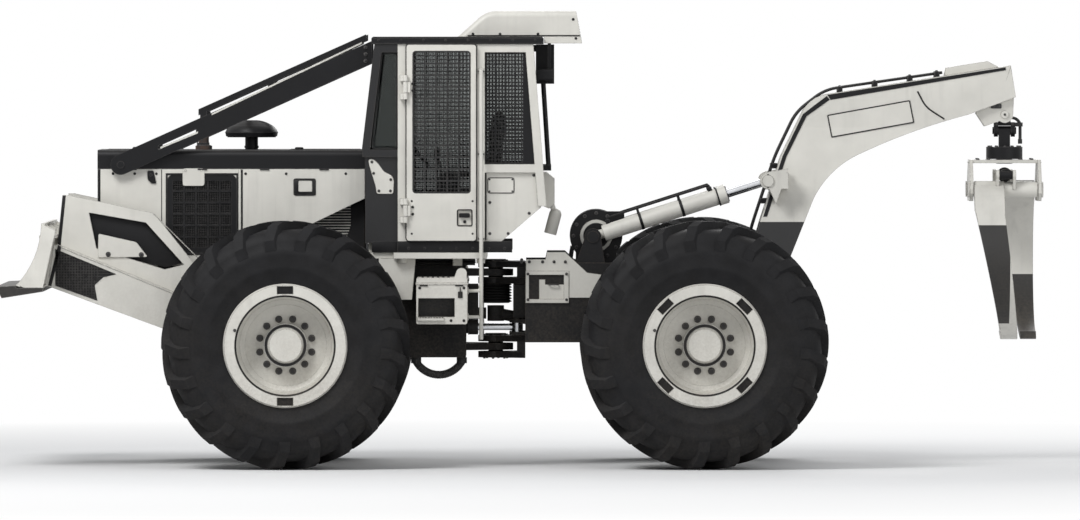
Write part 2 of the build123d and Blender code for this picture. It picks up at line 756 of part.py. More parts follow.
def cab_roof():
    """The roof plate with its turned-down edge, and the rear overhang under the cooler."""
    x = (rear_edge(ROOF_Z) - 80, ROOF_FRONT_X)
    y = HALF_CAB + 12
    roof = block(x, (-y, y), (ROOF_Z - ROOF_T, ROOF_Z))
    roof = chamfer(roof.edges().group_by(Axis.Z)[-1], 12)
    hollow = block(
        (x[0] + 10, x[1] - 10), (-y + 10, y - 10), (ROOF_Z - ROOF_T - 1, ROOF_Z - 12)
    )
    ribs = block((x[0] + 5, x[1] - 5), (-y + 5, y - 5), (ROOF_Z - ROOF_T, ROOF_Z - 10))
    ribs -= block(
        (x[0] + 130, x[1] - 90), (-y + 90, y - 90), (ROOF_Z - ROOF_T - 1, ROOF_Z - 9)
    )
    return (roof - hollow) + ribs


WALL = 12
PANEL_Y = (HALF_CAB - 40, HALF_CAB - 28)
PANEL_SPAN = (-PANEL_Y[1], PANEL_Y[1])


def cab_lower_body():
    """The tub under the windows: floor, side panels, front wall and chamfered rear."""
    gap = SEAT_GAP
    between = HALF_CAB - POST - gap  # between the posts of the two sides
    rear_x = rear_edge(SILL_Z) + 14
    slope_z, slope_x = FLOOR_Z + 252, -23
    post_foot = FLOOR_Z + 260
    top = SILL_Z - 62 - gap
    low = FLOOR_Z - WALL
    body = block((slope_x, HOOD_REAR_X - 6), (-between, between), (low, FLOOR_Z))
    # rear wall, and the sloping plate that joins it to the floor
    body += block((rear_x, rear_x + WALL), (-between, between), (slope_z, top))
    slope = [
        (slope_x, low),
        (slope_x, FLOOR_Z),
        (rear_x + WALL, slope_z + 5),
        (rear_x, slope_z + 5),
        (rear_x, slope_z),
        (slope_x - 8, low),
    ]
    body += side_plate(slope, (-PANEL_Y[1], PANEL_Y[1]))
    post_x = rear_edge(post_foot) + 62 + gap
    quarter = [
        (B_POST_X - 60 - gap, low),
        (B_POST_X - 60 - gap, top),
        (rear_edge(top) + 62 + gap, top),
        (post_x, post_foot - gap),
        (rear_x, post_foot - gap),
        (rear_x, slope_z),
        (slope_x - 8, low),
    ]
    front = [
        (A_POST_X + gap, low),
        (HOOD_REAR_X - 6, low),
        (HOOD_REAR_X - 6, HOOD_TOP_Z - 50 - gap),
        (A_POST_X + gap, HOOD_TOP_Z - 50 - gap),
    ]
    bays = ((slope_x, B_POST_X - 60 - gap), (A_POST_X + gap, HOOD_REAR_X - 6))
    for s in (-1, 1):
        panel = (s * PANEL_Y[0], s * PANEL_Y[1])
        body += side_plate(quarter, panel) + side_plate(front, panel)
        for bay in bays:
            body += block(bay, (s * (between - 5), s * PANEL_Y[1]), (low, FLOOR_Z))
    wall_top = HOOD_TOP_Z - 50 - gap
    body += block((HOOD_REAR_X - 6 - WALL, HOOD_REAR_X - 6), PANEL_SPAN, (FLOOR_Z - 5, wall_top))
    return body


def cab_deck():
    """The platform on the frame: cross beams, running boards and the skirt behind each tyre."""
    half = HALF_CAB + 40
    rear_x, front_x = B_POST_X - 75, A_POST_X + 30
    deck = block((rear_x, front_x), (-half, half), (DECK_Z - 45, DECK_Z))
    deck += block((front_x - 5, HOOD_REAR_X - 20), (-640, 640), (DECK_Z - 45, DECK_Z))
    well = (-HALF_CAB + 90, HALF_CAB - 90)
    deck -= block((rear_x + 90, HOOD_REAR_X - 90), well, (DECK_Z - 46, DECK_Z + 1))
    for x in (HINGE_BULKHEAD_X + 25, HOOD_REAR_X - 75):
        for s in (-1, 1):
            deck += block((x, x + 70), (s * 330, s * 520), (FRAME_TOP_Z, DECK_Z - 40))
    # brackets lift the tub's floor off the deck
    for x in (rear_x + 60, HOOD_REAR_X - 80):
        for s in (-1, 1):
            deck += block((x, x + 50), (s * 380, s * 600), (DECK_Z - 5, FLOOR_Z - WALL))
    skirt_x = FRONT_AXLE_X - TYRE_D / 2 + 235
    skirt = [
        (skirt_x, DECK_Z - 44),
        (skirt_x - 272, DECK_Z - 44),
        (skirt_x - 244, 1232),
        (skirt_x - 126, 1232),
        (skirt_x - 74, 1406),
        (skirt_x, 1490),
    ]
    for s in (-1, 1):
        deck += side_plate(skirt, (s * 640, s * 652))
        # rubber cab mounts
        for x in (B_POST_X - 30, A_POST_X - 35):
            deck += cyl_z(x, s * (HALF_CAB - 35), (DECK_Z - 80, DECK_Z - 40), 32)
    return deck


def rear_box():
    """The fresh-air box on the back wall of the cab."""
    x0 = rear_edge(SILL_Z) + 15
    outline = [
        (x0, SILL_Z - 64),
        (x0 - 45, SILL_Z - 64),
        (x0 - 101, SILL_Z - 110),
        (x0 - 101, 1936),
        (x0 - 60, 1900),
        (x0, 1925),
    ]
    box = side_plate(outline, (-330, 330))
    # slanting filter canister that hangs below the box on a short stub
    low, high = (x0 - 68, 200, 1712), (x0 - 106, 200, 1855)
    canister = bar(low, high, 46) + Pos(*high) * Sphere(46)
    stub = bar(high, (x0 - 70, 200, 1960), 20)
    return box + canister + stub


def quarter_screens():
    """The fixed side screens over the quarter windows, one each side."""
    y = (HALF_CAB - 26, HALF_CAB - 18)
    gap = SEAT_GAP
    x = (rear_edge(BEAM_Z[0]) + 62 + gap, B_POST_X - 60 - gap)
    z = (SILL_Z + gap, BEAM_Z[0] - gap)
    grid = lattice(x, y, z, 84, 12)
    wedge = side_plate(
        [
            (rear_edge(SILL_Z) + 62 + 2 * gap, z[0]),
            (x[0] + gap, z[1]),
            (x[0] + 20, z[1]),
            (x[0] + 20, z[0]),
        ],
        y,
    )
    return both_sides(grid + wedge)


def cab_glass():
    """Windshield, corner panes, quarter panes and the rear pane."""
    gap = SEAT_GAP
    span = (-HALF_CAB + POST + gap, HALF_CAB - POST - gap)
    z_front, z_rear, z_top = HOOD_TOP_Z + 60 + gap, SILL_Z + gap, BEAM_Z[0] - gap
    windshield = [
        (front_edge(z_front) - 36, z_front),
        (front_edge(z_top) - 36, z_top),
        (front_edge(z_top) - 30, z_top),
        (front_edge(z_front) - 30, z_front),
    ]
    rear = [
        (rear_edge(z_rear) + 26, z_rear),
        (rear_edge(z_top) + 26, z_top),
        (rear_edge(z_top) + 32, z_top),
        (rear_edge(z_rear) + 32, z_rear),
    ]
    panes = [side_plate(windshield, span), side_plate(rear, span)]
    sill = HOOD_TOP_Z + 4 + gap
    corner = [
        (A_POST_X + gap, sill),
        (front_edge(sill) - 61, sill),
        (front_edge(z_top) - 61, z_top),
        (A_POST_X + gap, z_top),
    ]
    quarter = [
        (B_POST_X - 60 - gap, z_rear),
        (rear_edge(z_rear) + 63, z_rear),
        (rear_edge(z_top) + 63, z_top),
        (B_POST_X - 60 - gap, z_top),
    ]
    for s in (-1, 1):
        across = (s * (HALF_CAB - 44), s * (HALF_CAB - 38))
        panes += [side_plate(corner, across), side_plate(quarter, across)]
    return Compound(children=[pane.solid() for pane in panes])


def roof_cooler():
    """The air-conditioning housing that overhangs the back of the roof."""
    z0 = ROOF_Z + SEAT_GAP
    outline = [
        (277, z0),
        (122, ROOF_Z + 139),
        (-4, ROOF_Z + 190, 62, ROOF_Z + 176),
        (-596, ROOF_Z + 190),
        (-640, ROOF_Z - 48),
        (rear_edge(ROOF_Z) - 83, ROOF_Z - 48),
        (rear_edge(ROOF_Z) - 83, z0),
    ]
    housing = side_plate(outline, (-520, 520))
    return fillet(housing.edges().filter_by(Axis.X).group_by(Axis.Z)[-1], 40)


def rear_guard():
    """The guard behind the rear window: a hooded lamp box and two struts down to the sill."""
    box_x = rear_edge(BEAM_Z[0]) - 13
    guard = block((box_x - 136, box_x), (-420, 420), (2824, ROOF_Z - ROOF_T - 2))
    mount_z = (BEAM_Z[0] + 5, BEAM_Z[1] - 5)
    guard += block((box_x - 5, rear_edge(BEAM_Z[1]) - SEAT_GAP), (-300, 300), mount_z)
    foot_z = (SILL_Z - 50, SILL_Z - 8)
    for s in (-1, 1):
        guard += bar((box_x - 55, s * 380, 2830), (-392, s * 380, foot_z[1] - 10), 18)
        guard += block((-412, rear_edge(SILL_Z) + 8 - SEAT_GAP), (s * 360, s * 400), foot_z)
    return guard


def work_lights():
    """Two lamps that hang from the cooler's overhang, one at each end of the rear guard."""
    top = ROOF_Z - 48 - SEAT_GAP
    x = rear_edge(BEAM_Z[0]) - 13
    lamps = []
    for s in (-1, 1):
        y = (s * 436, s * 556)
        lamp = block((x - 124, x - 12), y, (2846, 2936))
        lamp = fillet(lamp.edges().filter_by(Axis.X), 18)
        stem = block((x - 112, x - 88), (s * 470, s * 500), (2930, top))
        lamps.append((lamp + stem).solid())
    return Compound(children=lamps)


# ---------------------------------------------------------------- doors
DOOR_Y = (HALF_CAB + 3, HALF_CAB + 38)
DOOR_X = (B_POST_X + 4, A_POST_X - POST + 4)
DOOR_Z = (FLOOR_Z + 6, ROOF_Z - ROOF_T - 4)
DOOR_HINGE = (A_POST_X - POST + 12, HALF_CAB + 60)
HINGE_HEIGHTS = (1890, 2800)
WINDOW_X = (DOOR_X[0] + 40, DOOR_X[1] - 44)
WINDOW_Z = (FLOOR_Z + 355, DOOR_Z[1] - 46)


def door_hinges(s, on_door):
    """Hinge knuckles at two heights: outer ones and the pin on the post, the middle on the door."""
    x, y = DOOR_HINGE
    solids = []
    for z in HINGE_HEIGHTS:
        if on_door:
            knuckle = cyl_z(x, s * y, (z - 40, z + 40), 18)
            knuckle += block((DOOR_X[1] - 30, x), (s * (DOOR_Y[1] - 4), s * (y + 6)), (z - 40, z + 40))
            solids.append(knuckle - cyl_z(x, s * y, (z - 50, z + 50), 9 + PIN_GAP))
        else:
            pin = cyl_z(x, s * y, (z - 90, z + 90), 9)
            for z0, z1 in ((z - 90, z - 44), (z + 44, z + 90)):
                pin += cyl_z(x, s * y, (z0, z1), 18)
                pin += block((x + 2, x + 40), (s * (HALF_CAB - 5), s * (y + 8)), (z0, z1))
            solids.append(pin)
    return solids[0] + solids[1]


def door(s):
    y = (s * DOOR_Y[0], s * DOOR_Y[1])
    panel = block(DOOR_X, y, DOOR_Z)
    panel = fillet(panel.edges().filter_by(Axis.Y), 20)
    window = block(WINDOW_X, (s * (DOOR_Y[0] - 1), s * (DOOR_Y[1] + 1)), WINDOW_Z)
    window = fillet(window.edges().filter_by(Axis.Y), 25)
    screen_y = (s * (DOOR_Y[1] - 16), s * (DOOR_Y[1] - 8))
    panel = (panel - window) + lattice(WINDOW_X, screen_y, WINDOW_Z, 84, 12)
    latch_x, latch_z = DOOR_X[0] + 84, FLOOR_Z + 120
    latch = block(
        (latch_x - 50, latch_x + 50), (s * (DOOR_Y[1] - 14), s * (DOOR_Y[1] + 1)), (latch_z, latch_z + 110)
    )
    panel -= latch
    panel += block(
        (latch_x - 36, latch_x + 36), (s * (DOOR_Y[1] - 15), s * (DOOR_Y[1] - 4)), (latch_z + 60, latch_z + 86)
    )
    return panel + door_hinges(s, on_door=True)


def door_glass(s):
    y = (s * (DOOR_Y[0] + 2), s * (DOOR_Y[0] + 8))
    inset = SEAT_GAP
    x = (WINDOW_X[0] + inset, WINDOW_X[1] - inset)
    z = (WINDOW_Z[0] + inset, WINDOW_Z[1] - inset)
    return fillet(block(x, y, z).edges().filter_by(Axis.Y), 25)


# ---------------------------------------------------------------- inside the cab
SEAT_X = 150


def operator_seat():
    """A simple cushion, backrest and headless frame on a pedestal bolted to the floor."""
    x = SEAT_X
    base = block((x - 120, x + 160), (-150, 150), (FLOOR_Z, FLOOR_Z + 250))
    return base + block((x - 190, x + 250), (-230, 230), (FLOOR_Z + 250, FLOOR_Z + 280))


def seat_cushions():
    """Cushion and backrest as plain padded blocks, on the seat's pan and frame."""
    x, z = SEAT_X, FLOOR_Z + 280 + SEAT_GAP
    cushion = block((x - 180, x + 260), (-240, 240), (z, z + 110))
    cushion = chamfer(cushion.edges(), 25)
    back = side_plate(
        [
            (x - 175, z + 110 + SEAT_GAP),
            (x - 240, z + 700),
            (x - 130, z + 700),
            (x - 65, z + 110 + SEAT_GAP),
        ],
        (-230, 230),
    )
    back = chamfer(back.edges(), 25)
    return Compound(children=[cushion.solid(), back.solid()])


def control_console():
    """Dash pedestal with the steering wheel, on the cab floor."""
    z = FLOOR_Z
    x1 = HOOD_REAR_X - 6 - WALL - 1
    dash = side_plate(
        [(x1 - 190, z), (x1, z), (x1, z + 640), (x1 - 130, z + 640), (x1 - 190, z + 560)], (-330, 330)
    )
    column = bar((x1 - 130, 0, z + 520), (x1 - 330, 0, z + 690), 24)
    wheel = (
        Pos(x1 - 330, 0, z + 690)
        * Rot(0, -49.6, 0)
        * (Cylinder(184, 24) - Cylinder(158, 26) + Box(340, 26, 12) + Box(26, 340, 12))
    )
    return dash + column + wheel


# ---------------------------------------------------------------- steps and rails
STEP_X = (HINGE_BULKHEAD_X - 15, HINGE_BULKHEAD_X + 361)
STEP_Y = (RAIL_Y, 985)
STEP_Z = (1058, 1400)


def step_boxes():
    """Battery and tool boxes on each rail, with a foot pocket in the outer face."""
    box = block(STEP_X, STEP_Y, STEP_Z)
    box = fillet(box.edges().filter_by(Axis.Y), 15)
    x0, x1 = STEP_X
    pocket = block((x0 + 94, x1 - 15), (STEP_Y[1] - 190, STEP_Y[1] + 1), (1112, 1249))
    lid = block((x0 - 5, x1 + 5), (STEP_Y[0] + 40, STEP_Y[1] + 6), (1350, 1362))
    tread = block((x0 + 170, x1 - 8), (STEP_Y[1] - 5, STEP_Y[1] + 18), (1084, 1104))
    # the rounded grip at the rear corner of the lid
    ear = side_plate(
        [
            (x0 + 4, STEP_Z[1] - 30),
            (x0 + 4, STEP_Z[1] + 30),
            (x0 + 82, STEP_Z[1] + 40, x0 + 45, STEP_Z[1] + 72),
            (x0 + 112, STEP_Z[1] - 30),
        ],
        (STEP_Y[1] - 16, STEP_Y[1]),
    )
    lid += ear
    return both_sides((box - pocket) + lid + tread)


def grab_rails():
    """A vertical rail behind each door, from the roof to the deck."""
    x, y = B_POST_X - 34, HALF_CAB + 75
    z0, z1 = 940, ROOF_Z - 240
    cab_z = FLOOR_Z + 20
    path = bar((x, y, z0), (x, y, z1), 15)
    for z in (cab_z, (cab_z + z1) / 2, z1 - 15):
        path += cyl_y(x, (HALF_CAB, y), z, 12)
        path += cyl_y(x, (HALF_CAB, HALF_CAB + 8), z, 26)
    # the foot is stayed from the rear face of the step box
    for z in (STEP_Z[0] + 50, STEP_Z[1] - 100):
        path += cyl_x((x, STEP_X[0] - SEAT_GAP), y, z, 12)
        path += cyl_x((STEP_X[0] - 8, STEP_X[0] - SEAT_GAP), y, z, 26)
    return both_sides(path)


HOSE_R = 28
HOSE_END_X = (HINGE_BULKHEAD_X + 30, HINGE_BULKHEAD_X + 368)
HOSE_SAG = 130


def belly_hose():
    """The hose loop under the front frame, held at both ends by fittings in the belly plate."""
    y, z = 335, FRAME_LOW_Z - 32
    (x0, x1), middle = HOSE_END_X, sum(HOSE_END_X) / 2
    route = ThreePointArc((x0, y, z), (middle, y, z + 32 - HOSE_SAG), (x1, y, z))
    hose = sweep(Plane(origin=route @ 0, z_dir=route % 0) * Circle(HOSE_R), path=route)
    for x in HOSE_END_X:
        hose += cyl_z(x, y, (z - 12, FRAME_LOW_Z - SEAT_GAP), HOSE_R + 10)
    return hose


# ---------------------------------------------------------------- blade
BLADE_CYL_BORE = 38


def mouldboard():
    """A curved mouldboard with end plates and a stiffened back."""
    half = BLADE_W / 2
    tip_x, tip_z = BLADE_TIP_X - 150, 1345
    top_x, top_z = 3330, 1800
    back_x = 3225
    curve = [
        (tip_x, tip_z),
        (top_x, top_z, 3385, 1545),
        (top_x - 26, top_z),
        (tip_x - 30, tip_z - 8, 3355, 1535),
    ]
    board = side_plate(curve, (-half, half))
    end = [
        (tip_x, tip_z),
        (top_x, top_z, 3385, 1545),
        (back_x, top_z - 50),
        (back_x + 90, 1345),
    ]
    for s in (-1, 1):
        board += side_plate(end, (s * half, s * (half - 20)))
    board += side_plate([(tip_x - 60, 1330), (3315, 1330), (3315, 1346), (tip_x - 20, 1346)], (-half, half))
    board += block((3232, 3345), (-half + 10, half - 10), (1690, 1712))
    for y in (-900, -300, 300, 900):
        board += side_plate(end, (y - 8, y + 8))
    return board


def cutting_edge():
    half = BLADE_W / 2
    outline = [
        (BLADE_TIP_X, 1337),
        (BLADE_TIP_X - 46, 1252),
        (3318, 1300),
        (3318, 1329.7),
        (BLADE_TIP_X - 152, 1329.7),
        (BLADE_TIP_X - 149, 1344),
    ]
    return side_plate(outline, (-half, half))


def blade():
    """The mouldboard on two box arms with windowed guards, tied by a cross tube behind it."""
    px, pz = BLADE_PIVOT
    lower = [
        (px - 95, pz + 60),
        (px - 95, pz - 70),
        (px + 20, pz - 125),
        (3300, 1332),
        (3440, 1345),
        (3380, 1500),
        (3340, 1620),
        (3230, 1640),
        (px + 60, pz + 170),
    ]
    upper = [
        (3240, 1560),
        (3195, 2003),
        (3150, 2003),
        (2520, 1870),
        (2225, 1500),
        (px + 180, pz + 120),
        (px + 250, pz + 60),
    ]
    window = [
        (3000, 1874),
        (2945, 1610),
        (2440, 1455),
        (2300, 1490),
        (2579, 1800),
    ]
    arm = side_plate(lower, (ARM_IN_Y, ARM_OUT_Y))
    guard = side_plate(upper, (ARM_IN_Y + 30, ARM_IN_Y + 70)) - side_plate(
        window, (ARM_IN_Y + 20, ARM_IN_Y + 80)
    )
    arm += guard
    arm += cyl_y(px, (ARM_IN_Y, ARM_OUT_Y - 12), pz, 110)
    arm -= cyl_y(px, (ARM_IN_Y - 1, ARM_OUT_Y + 1), pz, 45 + PIN_GAP)
    # lugs for the rod of the blade cylinder
    x, z = BLADE_ROD_PIN
    side = BLADE_CYL_Y + BLADE_EYE_W / 2 + FACE_GAP
    arm += cyl_y(x, (side, ARM_IN_Y + 5), z, 46)
    inner = BLADE_CYL_Y - BLADE_EYE_W / 2 - FACE_GAP
    ear = cyl_y(x, (inner, inner - 16), z, 46)
    ear += block((x, x + 92), (inner, inner - 16), (z - 46, z + 46))
    ear += block((x + 76, x + 96), (inner - 16, ARM_IN_Y + 5), (z - 46, z + 46))
    arm += ear
    pair = both_sides(arm)
    cross = block((3150, 3224), (-ARM_IN_Y - 5, ARM_IN_Y + 5), (1345, 1480))
    return pair.solids()[0] + pair.solids()[1] + cross + mouldboard()


def blade_cylinders():
    length, angle = cylinder_axis(BLADE_BASE_PIN, BLADE_ROD_PIN)
    tube_len = length - 120
    tube = barrel(tube_len, BLADE_CYL_BORE, 46, BLADE_EYE_W, BLADE_PIN_R)
    shaft = rod(length, 80, BLADE_CYL_BORE, 44, BLADE_EYE_W)
    sides = (-BLADE_CYL_Y, BLADE_CYL_Y)
    tubes = [place(tube, BLADE_BASE_PIN, angle, y).solid() for y in sides]
    rods = [place(shaft, BLADE_BASE_PIN, angle, y).solid() for y in sides]
    return Compound(children=tubes), Compound(children=rods)


# ---------------------------------------------------------------- steering cylinders
STEER_BASE = (600, 205)
STEER_ROD = (-160, 220)
STEER_Z = 1020
STEER_BORE = 36
STEER_EYE_W = 66
STEER_PIN_R = 24
STEER_TUBE = 470


def steer_cylinder(s):
    """Barrel and rod of one steering cylinder, lying level between the two frames."""
    length, angle = cylinder_axis(STEER_BASE, STEER_ROD)
    tube = barrel(STEER_TUBE, STEER_BORE, 44, STEER_EYE_W, STEER_PIN_R)
    shaft = rod(length, 300, STEER_BORE, 42, STEER_EYE_W)
    turn = Pos(STEER_BASE[0], s * STEER_BASE[1], STEER_Z) * Rot(0, 0, s * angle) * Rot(90, 0, 0)
    return turn * tube, turn * shaft


# ---------------------------------------------------------------- rear frame
REAR_FORKS = ((792, 838), (912, 958), (1342, 1388), (1462, 1508))
DECK_REAR_Z = 1500
REAR_LOW_Z = 912
WINCH_X = -745
WINCH_R = 195
WINCH_Y = (140, 215)  # inner and outer face of a gearcase
WINCH_Z = DECK_REAR_Z + WINCH_R + 3


def rear_chassis():
    ax = REAR_AXLE_X
    hx = -HINGE_BULKHEAD_X
    t = 30
    rail = [
        (hx, REAR_LOW_Z),
        (hx, DECK_REAR_Z),
        (hx - 700, DECK_REAR_Z),
        (hx - 880, 1390),
        (BOOM_PIVOT[0] + 190, 1280),
        (BOOM_PIVOT[0] - 150, 1280),
        (BOOM_PIVOT[0] - 380, 1190),
        (BOOM_PIVOT[0] - 400, 860),
        (ax - 520, 800),
        (ax - 300, AXLE_SEAT_Z),
        (ax + 300, AXLE_SEAT_Z),
        (ax + 480, REAR_LOW_Z),
    ]
    y = (REAR_RAIL_Y - t, REAR_RAIL_Y)
    body = side_plate(rail, y) + side_plate(rail, (-y[0], -y[1]))
    inside = (-y[0], y[0])
    body += block((hx - 40, hx), inside, (REAR_LOW_Z, DECK_REAR_Z))
    for s in (-1, 1):
        pocket = (s * (STEER_ROD[1] - 88), s * (STEER_ROD[1] + 88))
        near = STEER_EYE_W / 2 + FACE_GAP
        body -= block((hx - 41, hx + 1), pocket, (STEER_Z - near, STEER_Z + near))
    shaft_z = SHAFT_Z + (HUB_Z - SHAFT_Z) * (hx - 20) / (ax + 400)
    body -= cyl_x((hx - 41, hx + 1), 0, shaft_z, SHAFT_R + 33)
    body += block((hx - 580, hx), inside, (DECK_REAR_Z - 20, DECK_REAR_Z))
    body += block((hx - 480, hx), inside, (REAR_LOW_Z, REAR_LOW_Z + 16))
    body += block((BOOM_PIVOT[0] - 395, BOOM_PIVOT[0] - 365), inside, (880, 1190))
    body += block((BOOM_PIVOT[0] - 380, ax - 520), inside, (850, 866))
    body += cyl_y(ax + 260, inside, 1180, 60)
    for z in REAR_FORKS:
        body += hinge_plate(-1, z, False)
    for low, high in ((REAR_FORKS[0], REAR_FORKS[1]), (REAR_FORKS[2], REAR_FORKS[3])):
        body += cyl_z(0, 0, (low[0], high[1]), HINGE_PIN_R)
        body += cyl_z(0, 0, (high[1], high[1] + 14), HINGE_PIN_R + 22)
        # the two plates of a fork are tied by webs outside the sweep of the lug between them
        for s in (-1, 1):
            tie = block((hx, hx + 62), (s * 120, s * 225), (low[1] - 5, high[0] + 5))
            body += tie
    for s in (-1, 1):
        body += hinge_web(-1, s)
        body += rear_side_plates(s)
    # forks that carry the steering rods
    for s in (-1, 1):
        for side in (-1, 1):
            near = STEER_Z + side * (STEER_EYE_W / 2 + FACE_GAP)
            far = near + side * 22
            x, y0 = STEER_ROD[0], s * STEER_ROD[1]
            body += flat_plate(
                [(hx - 5, y0 - 90), (hx - 5, y0 + 90), (x, y0 + 58), (x, y0 - 58)], (near, far)
            )
            body += cyl_z(x, y0, (near, far), 58)
            body += cyl_z(x, y0, (far, far + side * 10), 32)
    # pivot bosses for the boom
    for s in (-1, 1):
        px, pz = BOOM_PIVOT
        body += cyl_y(px, (s * y[0], s * (REAR_RAIL_Y + 14)), pz, 110)
        body += cyl_y(px, (s * BOOM_LEG_IN, s * (REAR_RAIL_Y + 20)), pz, BOOM_PIN_R)
    # forks for the boom cylinders, on the deck
    bx, bz = BOOM_BASE_PIN
    root = [(bx - 90, DECK_REAR_Z - 15), (bx - 58, bz), (bx + 58, bz), (bx + 130, DECK_REAR_Z - 15)]
    for s in (-1, 1):
        yc = s * BOOM_CYL_Y
        body += fork(BOOM_BASE_PIN, yc, BOOM_EYE_W, 26, 62, root, BOOM_CYL_PIN_R, True)
    body += block((hx - 700, hx - 570), inside, (DECK_REAR_Z - 20, DECK_REAR_Z))
    # tow bore in the rear plate
    hitch = block((BOOM_PIVOT[0] - 460, BOOM_PIVOT[0] - 385), (-60, 60), (960, 1000))
    body += hitch - cyl_z(BOOM_PIVOT[0] - 425, 0, (950, 1010), HITCH_R)
    return body


def rear_side_plates(s):
    """Plates on the outside of a rear rail: the coaming, the cheek and a framed box door."""
    face = s * (REAR_RAIL_Y - 1)
    hx = -HINGE_BULKHEAD_X
    cheek = [
        (hx - 5, 1440),
        (hx - 5, 1526),
        (hx - 150, 1526),
        (hx - 162, 1580),
        (hx - 294, 1580),
        (hx - 457, 1428),
        (hx - 561, 1413),
        (hx - 538, 1354),
        (hx - 475, 1243),
        (hx - 325, 1243),
        (hx - 325, 1440),
    ]
    plates = side_plate(cheek, (face, s * (REAR_RAIL_Y + 10)))
    coaming = [
        (hx - 5, 1495),
        (hx - 5, 1526),
        (hx - 150, 1526),
        (hx - 162, 1580),
        (hx - 294, 1580),
        (hx - 380, 1500),
        (hx - 380, 1495),
    ]
    plates += side_plate(coaming, (s * (REAR_RAIL_Y - 20), s * (REAR_RAIL_Y + 10)))
    frame_x, frame_z = (hx - 322, hx - 3), (1204, 1440)
    ring = block(frame_x, (face, s * (REAR_RAIL_Y + 16)), frame_z)
    ring -= block(
        (frame_x[0] + 36, frame_x[1] - 24),
        (s * (REAR_RAIL_Y - 2), s * (REAR_RAIL_Y + 20)),
        (frame_z[0] + 28, frame_z[1] - 28),
    )
    door = block((frame_x[0] + 34, hx - 103), (face, s * (REAR_RAIL_Y + 7)), (frame_z[0] + 26, 1340))
    door += block((hx - 147, hx - 103), (face, s * (REAR_RAIL_Y + 7)), (1335, 1377))
    return plates + ring + door


HITCH_R = 26
BOOM_CYL_Y = 330
BOOM_EYE_W = 84
BOOM_CYL_PIN_R = 32
BOOM_CYL_BORE = 50
BOOM_PIN_R = 48
BOOM_LEG_IN = 250


def winch():
    """A winch between the boom cylinders: gearcase ends, drum and flanges on a base."""
    x, z = WINCH_X, WINCH_Z
    inner, outer = WINCH_Y
    body = cyl_y(x, (-inner - 5, inner + 5), z, DRUM_R)
    for s in (-1, 1):
        side = (s * inner, s * outer)
        body += cyl_y(x, side, z, WINCH_R) + cyl_y(x, (s * outer, s * (outer + 16)), z, 95)
        body += block((x - 150, x + 150), side, (DECK_REAR_Z, z))
    body += block((x - 150, x + 150), (-inner - 5, inner + 5), (DECK_REAR_Z, DECK_REAR_Z + 20))
    # hydraulic motor behind the drum, on the left gearcase
    motor = block((x - 209, x - 60), (inner + 10, outer), (z + 30, z + 181))
    body += fillet(motor.edges().filter_by(Axis.Y), 20)
    # guard plate in front of the drum
    body += block((x + 145, x + 210), (-outer, outer), (DECK_REAR_Z, DECK_REAR_Z + 20))
    shield = [(x + 176, DECK_REAR_Z + 10), (x + 210, DECK_REAR_Z + 10), (x + 190, 1618), (x + 160, 1618)]
    return body + side_plate(shield, (-outer, outer))


DRUM_R = 100


def winch_rope():
    """The wound layers of rope on the drum, as one plain sleeve."""
    half = WINCH_Y[0] - SEAT_GAP
    sleeve = cyl_y(WINCH_X, (-half, half), WINCH_Z, DRUM_R + 50)
    return sleeve - cyl_y(WINCH_X, (-half - 1, half + 1), WINCH_Z, DRUM_R + SEAT_GAP)


